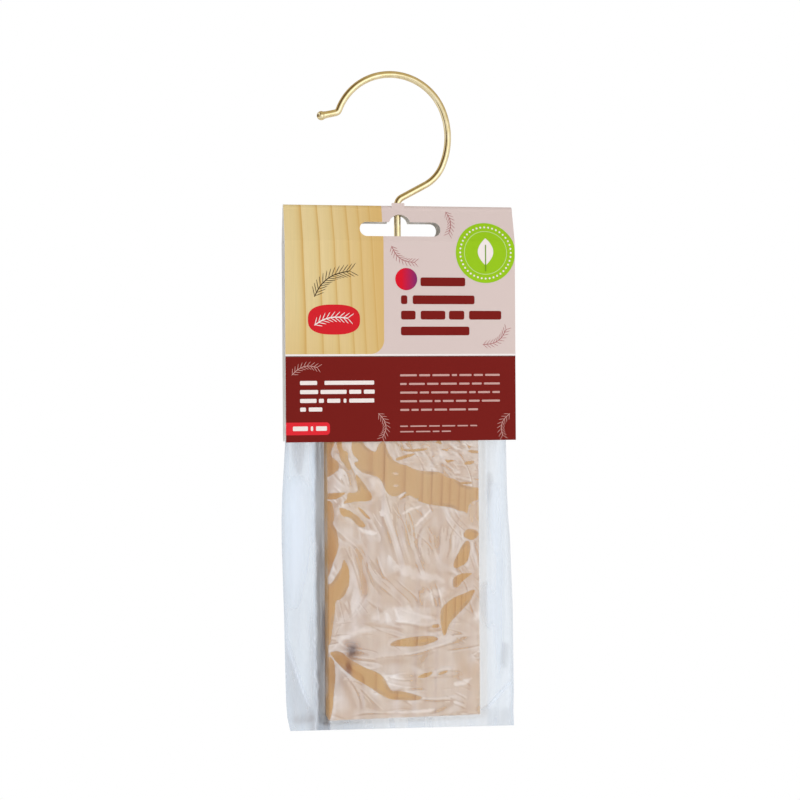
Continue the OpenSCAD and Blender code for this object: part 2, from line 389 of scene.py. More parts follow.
CLINGING = {
    "band": [
        (-20.8, -92.0), (-17.0, -92.0), (-14.4, -95.8), (-10.7, -97.6), (-9.6, -94.1), (-7.4, -92.2),
        (-6.3, -96.0), (-5.2, -98.4), (-3.5, -100.7), (-0.7, -102.4), (2.7, -103.2), (6.3, -105.1),
        (10.8, -105.8), (15.9, -105.9), (17.6, -107.2), (19.7, -108.5), (22.9, -109.1), (24.8, -110.4),
        (27.4, -112.2), (35.0, -113.3), (34.9, -117.5), (31.0, -118.4), (28.9, -120.2), (28.3, -124.0),
        (27.1, -122.8), (24.7, -122.6), (21.8, -121.1), (17.0, -120.3), (13.1, -119.9), (8.8, -118.7),
        (6.7, -117.8), (8.0, -116.7), (6.2, -117.1), (4.4, -115.9), (2.6, -115.6), (0.0, -117.2),
        (-0.8, -117.1), (2.5, -114.4), (1.2, -114.0), (-1.6, -115.9), (-4.1, -115.8), (-5.8, -114.9),
        (-7.2, -112.5), (-8.3, -109.6), (-9.8, -107.7), (-12.6, -106.6), (-15.9, -106.1), (-18.5, -104.1),
        (-20.4, -101.5), (-17.7, -100.9), (-20.4, -98.2), (-21.2, -95.8),
    ],
    "neck pocket": [
        (-27.4, -92.0), (-25.3, -92.0), (-25.3, -96.2), (-22.5, -97.2), (-23.0, -99.5), (-21.1, -103.8),
        (-22.5, -104.7), (-24.4, -101.9), (-26.1, -99.5), (-26.3, -97.1), (-27.2, -95.3),
    ],
    "left pocket": [
        (-32.4, -92.0), (-27.7, -92.0), (-30.0, -96.6), (-29.6, -99.4), (-26.8, -101.1), (-26.6, -104.2),
        (-30.1, -106.9), (-32.5, -107.4),
    ],
    "fold pocket": [
        (-19.6, -106.1), (-18.2, -107.6), (-12.2, -115.9), (-13.6, -117.8), (-18.4, -117.8),
        (-21.2, -118.1), (-25.1, -118.8), (-23.1, -116.7), (-23.0, -114.1), (-20.5, -114.4),
        (-18.4, -113.6), (-19.0, -109.9),
    ],
    "small lens": [(-32.3, -114.4), (-27.3, -114.1), (-23.6, -114.0), (-25.7, -115.7), (-28.3, -116.9),
                   (-32.3, -116.7)],
    "left strip": [
        (-32.5, -117.2), (-29.7, -117.7), (-29.0, -121.5), (-28.9, -124.8), (-29.5, -127.1),
        (-28.0, -129.5), (-27.2, -133.2), (-26.9, -136.0), (-27.7, -139.3), (-29.2, -143.0),
        (-31.1, -148.6), (-32.8, -151.4),
    ],
    "wedge": [(-26.9, -120.1), (-22.7, -121.4), (-20.3, -123.0), (-17.9, -125.0), (-15.1, -128.3),
              (-16.6, -128.8), (-18.9, -128.0), (-20.3, -125.9), (-22.7, -124.2), (-25.5, -123.9)],
    "sliver": [(-19.1, -119.9), (-17.0, -121.2), (-14.6, -123.6), (-13.2, -125.5), (-14.2, -125.3),
               (-16.5, -123.4)],
    "leaf": [
        (-24.9, -142.0), (-24.0, -143.2), (-22.8, -145.5), (-22.4, -149.3), (-22.7, -152.6),
        (-23.0, -154.2), (-25.8, -158.9), (-28.4, -159.1), (-28.7, -164.0), (-30.1, -172.9),
        (-31.0, -178.0), (-33.0, -178.9), (-32.8, -152.6), (-30.0, -152.4), (-28.0, -149.1),
        (-25.7, -145.9),
    ],
    "right blob": [(28.5, -130.2), (32.4, -131.2), (33.4, -132.7), (31.9, -134.5), (30.0, -135.2),
                   (27.1, -134.0), (26.6, -132.5)],
    "right stripe": [(27.1, -135.9), (29.2, -135.4), (29.5, -139.2), (28.5, -144.0), (26.5, -145.8),
                     (22.6, -147.2), (22.2, -144.8), (24.6, -140.1)],
    "right patch": [(22.6, -150.5), (27.0, -149.2), (30.9, -149.3), (26.5, -152.0), (24.5, -154.8),
                    (22.3, -155.2), (21.9, -152.8)],
    "blade": [
        (32.0, -155.8), (29.8, -160.5), (26.4, -164.2), (22.0, -168.4), (19.6, -171.6), (18.6, -175.4),
        (17.6, -175.4), (16.4, -169.2), (16.7, -164.4), (18.2, -162.6), (22.1, -159.6), (26.4, -158.1),
    ],
    "chip": [(12.6, -170.9), (15.5, -170.6), (16.2, -171.8), (13.3, -172.4)],
    "eye": [(-5.7, -178.9), (-3.1, -177.1), (2.2, -176.0), (8.5, -175.5), (13.3, -175.7), (15.4, -176.7),
            (14.7, -177.6), (9.4, -179.4), (3.6, -179.7), (-3.1, -179.3)],
    "swoosh": [
        (-30.9, -180.8), (-27.8, -180.7), (-25.4, -181.5), (-21.7, -184.9), (-16.5, -187.9),
        (-10.8, -190.2), (-7.9, -192.5), (-6.1, -196.8), (-4.6, -198.5), (-0.3, -198.6), (3.0, -199.5),
        (9.0, -201.6), (5.4, -202.7), (0.6, -202.2), (-4.7, -201.8), (-8.0, -200.5), (-13.7, -196.5),
        (-21.7, -191.5), (-25.9, -187.6), (-30.2, -182.7),
    ],
    "left sliver": [(-32.5, -183.1), (-30.2, -183.2), (-29.0, -185.6), (-28.6, -191.7), (-29.6, -199.6),
                    (-29.8, -204.3), (-31.1, -209.9), (-33.2, -210.7)],
    "spot": [(5.9, -193.0), (8.3, -191.6), (13.2, -190.6), (12.2, -192.0), (9.3, -193.3)],
    "second spot": [(15.1, -191.9), (17.5, -190.6), (19.7, -190.4), (19.0, -191.3), (16.1, -192.2)],
    "crack": [(-0.6, -95.7), (2.7, -96.4), (10.9, -95.8), (11.6, -96.4), (5.1, -97.3), (0.8, -96.7)],
    "second crack": [(-2.3, -100.1), (1.3, -98.7), (5.1, -97.9), (6.3, -98.4), (1.3, -100.0), (-1.8, -101.0)],
    "third crack": [(27.0, -101.9), (31.2, -101.4), (31.7, -102.4), (27.5, -103.2)],
    "fourth crack": [(18.0, -108.9), (23.8, -110.6), (30.1, -110.4), (30.7, -111.1), (23.8, -111.5),
                     (19.5, -109.7)],
    "fifth crack": [(23.8, -113.1), (33.3, -113.5), (33.3, -114.4), (25.3, -114.5)],
    "sixth crack": [(28.8, -96.8), (34.6, -97.4), (34.6, -98.2), (29.2, -97.9)],
}
# Half-clinging places, clear but with soft edges
RESTING = {
    "soft stripe": [(-19.2, -136.7), (-17.3, -136.3), (-16.6, -141.9), (-15.3, -147.6), (-13.9, -157.3),
                    (-17.6, -158.1), (-19.3, -145.2)],
    "right margin": [(29.0, -119.0), (34.5, -118.0), (34.5, -131.0), (30.5, -130.5), (29.2, -126.0)],
}
# Stretched places that catch the light, drawn as painted highlights
SHINING = {
    "patch": [(8.6, -159.0), (10.5, -156.7), (14.4, -155.3), (18.7, -155.0), (20.1, -156.9),
              (16.8, -158.7), (12.4, -159.6)],
    "wide patch": [(-14.0, -166.8), (-10.6, -165.0), (-3.9, -162.9), (3.7, -162.4), (10.5, -163.3),
                   (12.4, -168.1), (5.6, -169.3), (-4.0, -169.9), (-10.6, -169.0)],
    "tongue": [(-30.4, -180.4), (-25.9, -173.9), (-21.6, -171.5), (-11.6, -171.3), (-11.9, -172.5),
               (-18.3, -173.5), (-23.0, -175.2), (-27.8, -178.3)],
    "low patch": [(-8.9, -192.4), (-4.1, -190.7), (4.0, -195.3), (3.0, -198.3), (-4.6, -197.3),
                  (-7.0, -194.4)],
    "curl": [(-14.0, -108.6), (-10.2, -107.7), (-8.3, -110.1), (-6.5, -113.9), (-8.4, -115.7),
             (-11.7, -114.7), (-13.1, -111.9)],
    "roll": [(-3.8, -144.6), (3.4, -146.2), (10.6, -148.0), (17.8, -150.4), (18.2, -153.2),
             (10.5, -152.1), (3.3, -150.0), (-3.8, -147.4)],
    "edge patch": [(31.0, -169.1), (31.7, -166.3), (34.6, -165.2), (34.6, -168.3)],
}
# Small sharp painted reflections on tight creases
GLINTING = {
    "low glint": [(21.6, -195.5), (26.2, -194.7), (30.1, -193.6), (29.6, -194.8), (26.7, -196.8),
                  (22.8, -197.2)],
    "hem glint": [(-10.9, -207.2), (5.4, -206.9), (14.5, -206.1), (12.1, -208.0), (5.3, -207.9)],
    "smear": [(-0.3, -123.4), (4.0, -120.7), (8.8, -120.1), (7.8, -121.0), (4.0, -122.1), (0.6, -124.0)],
    "upper smear": [(-1.7, -115.9), (1.2, -114.0), (2.5, -114.4), (-0.8, -117.1)],
    "left smear": [(-18.9, -128.7), (-14.7, -129.7), (-10.4, -130.8), (-11.1, -132.2), (-16.1, -131.6)],
    "long smear": [(5.4, -128.3), (9.7, -124.1), (12.2, -121.8), (12.6, -122.3), (8.8, -126.5),
                   (6.1, -128.8)],
    "dab": [(-4.0, -105.9), (-2.6, -105.7), (-1.1, -106.3), (-1.4, -107.1), (-3.3, -106.8)],
    "second dab": [(-3.7, -111.4), (-2.1, -111.0), (-1.0, -111.6), (-2.2, -112.1)],
}
# Fans of pleats, each between a first and a last pleat: (count, first, last)
PLEATS = [
    (9, [(-10.3, -116.9), (-8.9, -124.2), (-6.1, -133.7), (-1.0, -148.4)],
     [(3.5, -117.8), (2.6, -121.6), (3.5, -127.3), (5.8, -144.4)]),
    (8, [(-26.5, -134.2), (-23.3, -139.9), (-21.7, -147.4), (-21.0, -155.1)],
     [(-16.6, -136.3), (-14.3, -142.0), (-10.5, -149.6), (-3.9, -155.5)]),
    (6, [(8.8, -121.7), (4.5, -126.4), (3.4, -133.9), (7.2, -143.0)],
     [(17.0, -124.3), (9.7, -129.3), (7.7, -136.4), (11.1, -143.1)]),
    (10, [(10.7, -130.3), (10.1, -136.4), (9.9, -141.6), (10.1, -145.4)],
     [(26.2, -124.9), (25.1, -132.0), (23.2, -139.1), (19.7, -146.1)]),
    (5, [(-24.8, -93.4), (-22.5, -97.2), (-20.2, -101.5), (-15.9, -106.2)],
     [(-28.2, -99.5), (-25.4, -103.3), (-22.6, -106.6), (-17.9, -110.9)]),
    (5, [(-19.3, -183.1), (-8.8, -182.3), (3.1, -182.0), (16.6, -178.7)],
     [(-17.4, -186.0), (-7.9, -184.4), (3.1, -183.9), (15.1, -184.3)]),
    (6, [(-29.7, -183.2), (-26.4, -190.4), (-23.2, -198.0), (-22.3, -205.1)],
     [(-23.1, -192.8), (-17.5, -196.8), (-10.9, -203.2), (-7.1, -206.7)]),
    (6, [(-30.1, -179.0), (-28.2, -166.8), (-24.3, -159.0), (-22.9, -152.9)],
     [(-28.7, -179.0), (-24.9, -171.6), (-17.3, -164.8), (-10.6, -156.1)]),
]
# Soft folds in the flat sides of the bag, drawn as grey painted shade
FLANGE_FOLD_SHADE = {
    "left point": [(-46.1, -92.0), (-39.7, -92.0), (-41.0, -100.4), (-42.8, -106.7), (-44.9, -102.4)],
    "left foot": [(-49.4, -176.0), (-48.3, -176.2), (-46.3, -184.3), (-41.3, -199.3), (-38.8, -204.9),
                  (-36.5, -211.0), (-47.5, -213.0)],
    "right streak": [(38.4, -107.9), (39.8, -108.0), (39.7, -118.7), (38.8, -118.7)],
    "right spots": [(45.1, -179.3), (47.7, -181.6), (46.8, -191.9), (43.2, -189.6), (43.7, -183.6)],
}
# Painted highlights on the flat sides of the bag
FLANGE_SHINES = {
    "left shine": [(-47.5, -111.0), (-41.5, -108.0), (-38.5, -122.0), (-42.0, -150.0), (-46.0, -165.0),
                   (-47.5, -140.0)],
    "right point": [(39.2, -112.5), (43.2, -112.5), (42.7, -131.7), (42.2, -142.9), (40.0, -131.7)],
    "right blotch": [(35.9, -157.4), (38.6, -154.5), (40.7, -161.9), (39.3, -174.8), (36.7, -168.2)],
}
# Creases in the flat sides: a painted highlight on each ridge and painted shade on one flank
FLANGE_CREASES = [
    [(-48.3, -176.2), (-46.3, -184.3), (-41.3, -199.3), (-38.8, -204.9)],
    [(35.6, -210.0), (41.4, -204.7), (48.5, -197.2)],
]


def smooth_step(low, high, value):
    """0 below low, 1 above high, and a smooth curve between them."""
    t = np.clip((value - low) / (high - low), 0, 1)
    return t * t * (3 - 2 * t)


def outline_distance(x, z, outline):
    """Distance in mm from points to a closed outline, negative inside it."""
    far = np.full(x.shape, np.inf)
    inside = np.zeros(x.shape, bool)
    for (ax, az), (bx, bz) in zip(outline, outline[1:] + outline[:1]):
        dx, dz = bx - ax, bz - az
        along = np.clip(((x - ax) * dx + (z - az) * dz) / (dx * dx + dz * dz), 0, 1)
        far = np.minimum(far, np.hypot(x - ax - along * dx, z - az - along * dz))
        if dz:
            inside ^= ((az > z) != (bz > z)) & (x < ax + (z - az) / dz * dx)
    return np.where(inside, -far, far)


def pleat(x, z, line_points, width):
    """A pleat along a line of points, that fades at both ends: its height from 0 to 1, and its
    flanks for painted light and shade, positive where they face the light at the upper right and
    negative where they face away."""
    height, flank, nearest = np.zeros(x.shape), np.zeros(x.shape), np.full(x.shape, np.inf)
    count = len(line_points) - 1
    for i, ((ax, az), (bx, bz)) in enumerate(zip(line_points, line_points[1:])):
        dx, dz = bx - ax, bz - az
        reach = math.hypot(dx, dz)
        along = np.clip(((x - ax) * dx + (z - az) * dz) / reach ** 2, 0, 1)
        far = np.hypot(x - ax - along * dx, z - az - along * dz)
        aside = ((x - ax) * dz - (z - az) * dx) / reach
        facing = (dz * LIT_FROM[0] - dx * LIT_FROM[1]) / reach
        bump = np.exp(-(far / width) ** 2) * np.sin(np.pi * np.clip((i + along) / count, 0, 1)) ** 0.6
        here = far < nearest
        height = np.where(here, bump, height)
        flank = np.where(here, FLANK_SCALE * facing * aside / width * bump, flank)
        nearest = np.minimum(nearest, far)
    return height, flank


def curved(points, count):
    """A smooth curve through control points, as count + 1 points."""
    knots = np.array(points, float)
    result = []
    for value in np.linspace(0, len(knots) - 1, count + 1):
        i = min(int(value), len(knots) - 2)
        before, after = knots[max(i - 1, 0)], knots[min(i + 2, len(knots) - 1)]
        a, b, s = knots[i], knots[i + 1], value - i
        result.append(tuple(0.5 * ((2 * a) + (b - before) * s + (2 * before - 5 * a + 4 * b - after) * s ** 2
                                   + (3 * a - before - 3 * b + after) * s ** 3)))
    return result


def rounded(outline):
    """An outline with its corners cut twice, so that it runs smooth."""
    for _ in range(2):
        outline = [tuple((1 - t) * a + t * b for a, b in zip(start, end))
                   for start, end in zip(outline, outline[1:] + outline[:1]) for t in (0.22, 0.78)]
    return outline


def nearest_outline(x, z, outlines):
    """Distance in mm from points to the nearest of some rounded outlines, negative inside it."""
    return np.min([outline_distance(x, z, rounded(outline)) for outline in outlines.values()], axis=0)


def film_noise(x, z, x_size, z_size, seed):
    """Smooth noise from about -1 to 1, with features of x_size by z_size mm. Blender's own
    stays within 0.6 or so, and each seed reads a slice of it away from the others."""
    return np.array([noise.noise((a / x_size, seed * 7.3, b / z_size)) for a, b in zip(x, z)]) * 1.6


def creases(x, z, angle, wide, long, seed):
    """Thin creases that wander along an angle in degrees, some way apart: height, and flanks for
    painted light and shade.
    """
    turn = math.radians(angle)
    u, v = x * math.cos(turn) + z * math.sin(turn), z * math.cos(turn) - x * math.sin(turn)
    drift = film_noise(u, v, 18, 12, seed + 5)
    value = film_noise(u, v + 2.0 * drift, long, wide, seed) / (0.13 + 0.10 * np.clip(1 + drift, 0, 2))
    height = np.exp(-value ** 2) * smooth_step(0.02, 0.35, film_noise(u, v, 11, 8, seed + 9))
    return height, FLANK_SCALE * value * height


def bag_edges(z):
    """X of the bag's left and right edges at some heights."""
    return np.interp(-z, SIDE_DEPTHS, SIDE_LEFT), np.interp(-z, SIDE_DEPTHS, SIDE_RIGHT)


def film_grid(fine, coarse):
    """X and Z of a film layer's points, row by row, and its quads. It is fine over the board."""
    columns = np.concatenate([
        np.linspace(FLANGE_LEFT, TENT_LEFT, round((TENT_LEFT - FLANGE_LEFT) / coarse), endpoint=False),
        np.linspace(TENT_LEFT, TENT_RIGHT, round((TENT_RIGHT - TENT_LEFT) / fine), endpoint=False),
        np.linspace(TENT_RIGHT, FLANGE_RIGHT, round((FLANGE_RIGHT - TENT_RIGHT) / coarse)),
    ])
    rows = np.concatenate([
        np.arange(MOUTH_Z, FINE_ROWS_TOP, -HIDDEN_ROW_STEP),
        np.arange(FINE_ROWS_TOP, FINE_ROWS_END, -fine),
        np.linspace(SEAM_TOP, SEAM_BOTTOM, SEAM_ROWS),
    ])
    column, row = np.meshgrid(columns, rows)
    left, right = bag_edges(row)
    left_share = (column - FLANGE_LEFT) / (TENT_LEFT - FLANGE_LEFT)
    right_share = (column - TENT_RIGHT) / (FLANGE_RIGHT - TENT_RIGHT)
    x = np.where(column < TENT_LEFT, left + left_share * (TENT_LEFT - left), column)
    x = np.where(column > TENT_RIGHT, TENT_RIGHT + right_share * (right - TENT_RIGHT), x)
    hem = HEM_LEFT + (HEM_RIGHT - HEM_LEFT) * (x - FLANGE_LEFT) / (FLANGE_RIGHT - FLANGE_LEFT)
    z = row + smooth_step(HEM_TILTS_BELOW, SEAM_BOTTOM, row) * (hem - SEAM_BOTTOM)
    count = len(columns)
    quads = [(r * count + c, r * count + c + 1, (r + 1) * count + c + 1, (r + 1) * count + c)
             for r in range(len(rows) - 1) for c in range(count - 1)]
    return x.ravel(), z.ravel(), quads


def film_shape(x, z, lift):
    """Distance of the film from the pack's middle plane: flat on the board, sloping to the
    flat sides and the hem, and lifted off the wood."""
    beside = np.maximum(BOARD_LEFT - x, x - BOARD_RIGHT)
    below = np.maximum(BOARD_BOTTOM - z, 0)
    slope = (1 - np.clip(beside / TENT_W, 0, 1)) * (1 - np.clip(below / TENT_H, 0, 1))
    return FILM_GAP + (BOARD_HALF + SLIP - FILM_GAP + lift) * slope


def share_over_board(x, z, none_at, all_at):
    """1 over the board and 0 beside and below it. The limits are distances out of its sides."""
    beside = np.maximum(BOARD_LEFT - x, x - BOARD_RIGHT)
    return smooth_step(none_at, all_at, beside) * smooth_step(BOARD_BOTTOM - 0.3, BOARD_BOTTOM + 0.1, z)


def low_down(z):
    """1 at the foot of the bag and 0 in its upper part."""
    return smooth_step(-158, -174, z)


def flat_sides(x, z):
    """Milk and painted sheen, painted highlights, painted shade and billow of the flat sides,
    where both layers lie on each other.
    """
    waves = film_noise(x, z, 5.0, 60, 12) + 0.35 * film_noise(x, z, 2.4, 30, 13)
    shade = 0.40 * smooth_step(1.5, -1.5, nearest_outline(x, z, FLANGE_FOLD_SHADE) + 0.8 * waves)
    shine = 0.55 * smooth_step(3.0, -3.0, nearest_outline(x, z, FLANGE_SHINES) + 0.6 * waves)
    for points_of in FLANGE_CREASES:
        ridge, flank = pleat(x, z, curved(points_of, 14), 0.55)
        shine = np.maximum(shine, 0.7 * ridge)
        shade = np.maximum(shade, 0.4 * np.clip(-flank, 0, 1))
    # The fold where the left side starts: a painted highlight along a line that wanders and comes
    # and goes
    wander = TENT_LEFT - 0.5 + 0.55 * film_noise(x, z, 400, 13, 15) + 0.5 * film_noise(x, z, 400, 4.5, 17)
    fold_line = np.exp(-((x - wander) / 0.45) ** 2) * smooth_step(-0.6, 0.3, film_noise(x, z, 400, 21, 18))
    # The fold line is a painted highlight, and the slow waves add painted highlights where high and painted
    # shade where low
    shine = np.maximum(shine, 0.65 * fold_line) + 0.30 * np.clip(waves, 0, 1)
    shade += 0.20 * np.clip(-waves, 0, 1)
    # Edges and seam are darker, and the sides billow between them
    left, right = bag_edges(z)
    edge_in = np.minimum(x - left, right - x)
    flat = smooth_step(TENT_LEFT + 0.2, TENT_LEFT - 1.5, x)
    flat += smooth_step(TENT_RIGHT - 0.2, TENT_RIGHT + 1.5, x)
    billow = 0.30 * waves * flat * smooth_step(0, 4, edge_in) * smooth_step(-213, -205, z)
    edge = smooth_step(2.2, 0.2, edge_in) + smooth_step(-206.0, -211.0, z)
    shade += 0.30 * np.clip(edge, 0, 1)
    # Painted shade on the flat left side next to the board's slope, low down
    by_the_board = smooth_step(TENT_LEFT - 4.5, TENT_LEFT - 1.0, x) * smooth_step(0, TENT_LEFT, x)
    shade += 0.38 * low_down(z) * by_the_board
    milk_and_sheen = 0.25 + 0.05 * waves + 0.08 * smooth_step(0, -20, x) + 0.25 * shade
    return np.clip(milk_and_sheen, 0, 1), shine, shade, billow


def build_film(name, side, grid, lift, billow, share, cling, thin, over, beside):
    """A film layer, in front (side -1) or behind (side 1), with its looks as attributes. Over
    and beside are its milk and painted sheen, its painted highlights and its painted shade,
    mixed by its share over the board."""
    x, z, quads = grid
    shown = 1 - smooth_step(CARD_BOTTOM - 0.2, CARD_BOTTOM + 0.5, z)
    y = side * film_shape(x, z, np.clip(lift, 0, GREATEST_LIFT) * shown) + billow
    faces = quads if side < 0 else [tuple(reversed(quad)) for quad in quads]
    layer = build_mesh(name, list(zip(x.tolist(), y.tolist(), z.tolist())), faces, film)
    milk_and_sheen, shine, shade = (share * a + (1 - share) * b for a, b in zip(over, beside))
    milk_and_sheen *= MILK_AND_SHEEN_UNDER_CARD + (1 - MILK_AND_SHEEN_UNDER_CARD) * shown
    looks = {
        "cling": cling, "thin": thin * shown, "milk_and_sheen": milk_and_sheen, "shine": shine * shown, "shade": shade * shown,
        "over_board": share,
    }
    for look, values in looks.items():
        attribute = layer.data.attributes.new(look, "FLOAT", "POINT")
        attribute.data.foreach_set("value", np.asarray(values, np.float32))
    layer.visible_shadow = False
    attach(layer, "package")
    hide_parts("bag")


# Clear polypropylene film. Where it stands off the wood it shows a cool, thin milkiness,
# which is partly the film's own haze and partly painted reflection of the bright room; where it
# clings it shows the wood; and its creases flash white with painted highlights and darken with
# painted shade.
film, tree = start_material("clear_film")
in_mm = measured_in_mm(tree)
cling_far = add_node(tree, "Attribute", attribute_name="cling").outputs["Fac"]
clinging = add_node(tree, "Attribute", attribute_name="thin").outputs["Fac"]
standing = add_node(tree, "Attribute", attribute_name="milk_and_sheen").outputs["Fac"]
bright = add_node(tree, "Attribute", attribute_name="shine").outputs["Fac"]
shaded = add_node(tree, "Attribute", attribute_name="shade").outputs["Fac"]
wood_behind = add_node(tree, "Attribute", attribute_name="over_board").outputs["Fac"]
# The edge of a clinging place is ragged every 1.2 mm or so
ragged = add_node(tree, "TexNoise", {"Vector": in_mm, "Scale": 0.8, "Detail": 3.0})
cling_edge = add_node(tree, "Math", {0: ragged, 1: 0.7, 2: cling_far}, operation="MULTIPLY_ADD")
lifted = add_node(tree, "MapRange", {0: cling_edge, 1: 0.18, 2: 0.62}, interpolation_type="SMOOTHSTEP")
# Streaks in the milkiness and its painted sheen, about 2 mm wide and 14 mm long
streaks = add_node(tree, "TexNoise", {
    "Vector": add_node(tree, "VectorMath", {0: in_mm, 1: (0.45, 0.45, 0.07)}, operation="MULTIPLY"),
    "Scale": 1.0, "Detail": 3.0,
})
streak_tone = add_node(tree, "MapRange", {0: streaks, 1: 0.3, 2: 0.7, 3: 0.93, 4: 1.07})
streaked = add_node(tree, "Math", {0: standing, 1: streak_tone}, operation="MULTIPLY")
cover = add_node(tree, "Mix", {0: lifted, 2: clinging, 3: streaked})
# Painted highlights also make the film cover more
cover_all = add_node(tree, "Math", {
    0: bright, 1: 0.42, 2: cover,
}, operation="MULTIPLY_ADD", use_clamp=True)
# The milkiness and its painted reflection are warmer over the wood than over the white
# backdrop; the shade attribute mixes in painted shade, and the shine attribute painted highlights
tint = add_node(tree, "Mix", {0: wood_behind, 6: "#BACBDD", 7: "#EAEBEF"}, data_type="RGBA")
shade_tint = add_node(tree, "Mix", {0: wood_behind, 6: "#8F8E93", 7: "#84655A"}, data_type="RGBA")
with_shade = add_node(tree, "Mix", {0: shaded, 6: tint, 7: shade_tint}, data_type="RGBA")
bright_tint = add_node(tree, "Mix", {0: wood_behind, 6: "#EEF4FD", 7: "#FBF7F4"}, data_type="RGBA")
with_shine = add_node(tree, "Mix", {0: bright, 6: with_shade, 7: bright_tint}, data_type="RGBA")
# Fine ripples, about 2 mm wide and 5 mm long
ripples = add_node(tree, "TexNoise", {
    "Vector": add_node(tree, "VectorMath", {0: in_mm, 1: (0.5, 0.5, 0.22)}, operation="MULTIPLY"),
    "Scale": 1.0, "Detail": 2.0,
})
relief = add_node(tree, "Bump", {"Height": ripples, "Strength": 0.08, "Distance": 0.0002})
veil = add_node(tree, "BsdfPrincipled", {
    "Base Color": with_shine, "Roughness": 0.35, "IOR": 1.49, "Normal": relief,
})
through = add_node(tree, "BsdfTransparent")
milk_and_sheen_layer = add_node(tree, "MixShader", {0: cover_all, 1: through, 2: veil})
facing_away = add_node(tree, "LayerWeight", {"Blend": 0.5, "Normal": relief})
grazing = add_node(tree, "Math", {0: facing_away.outputs["Facing"], 1: 5.0}, operation="POWER")
edge_on = add_node(tree, "Math", {0: grazing, 1: 0.5, 2: 0.015}, operation="MULTIPLY_ADD")
gloss = add_node(tree, "BsdfGlossy", {"Color": "#FFFFFF", "Roughness": 0.12, "Normal": relief})
surface = add_node(tree, "MixShader", {0: edge_on, 1: milk_and_sheen_layer, 2: gloss})
add_node(tree, "OutputMaterial", {0: surface})

# The front layer, as the pull of the board creased it
grid = film_grid(fine=0.37, coarse=0.8)
x, z = grid[:2]
cling = np.minimum(nearest_outline(x, z, CLINGING), CLING_FAR)
resting = smooth_step(1.6, -1.2, nearest_outline(x, z, RESTING))
ripple = film_noise(x, z, 2.2, 2.2, 6)
# Small clinging slivers among the wrinkles under the card's right half
crumpled = smooth_step(-4, 4, x) * smooth_step(-118.0, -112.0, z + 0.25 * (x - 16))
slivers = (0.80 - film_noise(x, z + 0.16 * x + 0.8 * ripple, 4.6, 1.25, 41)) * 2.0
cling = np.minimum(cling, np.where(crumpled > 0.5, np.maximum(slivers, -0.6), CLING_FAR))
shine = np.maximum(0.42 * smooth_step(1.3, -1.3, nearest_outline(x, z, SHINING) + 0.8 * ripple),
                   0.62 * smooth_step(0.5, -0.5, nearest_outline(x, z, GLINTING) + 0.3 * ripple))
standing_off = smooth_step(-0.2, 0.5, cling)

PLEAT_WIDTHS = [0.5, 0.9, 1.6, 2.2]
WRINKLES = 90
shuffle = np.random.default_rng(11)
ridges, flanks = np.zeros(x.shape), np.zeros(x.shape)


def lay_pleat(line_points, width, strength):
    """Adds one pleat to the front layer."""
    height, flank = pleat(x, z, line_points, width)
    ridges[:] = np.maximum(ridges, strength * height)
    flanks[:] = np.where(np.abs(flank) * strength > np.abs(flanks), flank * strength, flanks)


for count, first, last in PLEATS:
    for i in range(count):
        share = (i + shuffle.uniform(-0.45, 0.45)) / max(count - 1, 1)
        middle = [tuple(np.array(a) * (1 - share) + np.array(b) * share + shuffle.normal(0, 0.6, 2))
                  for a, b in zip(first, last)]
        lay_pleat(curved(middle, 9), shuffle.choice(PLEAT_WIDTHS), shuffle.uniform(0.25, 0.85))
# Short wrinkles at the upper right, where the glued card crumples the film
for _ in range(WRINKLES):
    start = np.array([shuffle.uniform(-2, 33), shuffle.uniform(-119, -92.8)])
    if start[1] < -100 - 0.45 * (start[0] - 2) - 3 and shuffle.uniform() < 0.75:
        continue
    angle, reach = math.radians(shuffle.normal(-10, 22)), shuffle.uniform(2.0, 8.0)
    heading = np.array([math.cos(angle), math.sin(angle)])
    bend = np.array([-heading[1], heading[0]]) * shuffle.normal(0, 0.10) * reach
    lay_pleat(curved([start, start + reach / 2 * heading + bend, start + reach * heading], 5),
              shuffle.uniform(0.42, 0.8), shuffle.uniform(0.3, 0.8))
# Creases that run with the pull: steep in the middle, level near the bottom. Each has an angle,
# its spacing and its length in mm, a seed and its strength.
near_foot = smooth_step(-158.0, -176.0, z)
pull_creases = [(-72, 4.4, 24, 51, 1 - near_foot), (-56, 3.2, 18, 52, 0.7 * (1 - near_foot)),
                (4, 4.4, 26, 53, near_foot), (-14, 3.4, 16, 54, 0.7 * near_foot)]
for angle, wide, long, seed, strength in pull_creases:
    height, flank = creases(x, z, angle, wide, long, seed)
    ridges = np.maximum(ridges, 0.6 * strength * height)
    flanks = np.where(np.abs(flank * strength) > np.abs(flanks), 0.75 * flank * strength, flanks)

# Over the board: how far the film lifts off the wood, how milky it is with its painted sheen,
# and its painted highlights and painted shade
soft = film_noise(x, z, 9, 15, 9)
patchy = film_noise(x, z, 5, 6, 3)
swirl = film_noise(x + 2.5 * soft, z + 5.0 * film_noise(x, z, 14, 14, 33), 5.5, 9.0, 34)
lift = 0.40 * smooth_step(-0.3, 2.6, cling) + 0.34 * ridges * standing_off + 0.10 * soft
lift *= 1 - 0.6 * resting
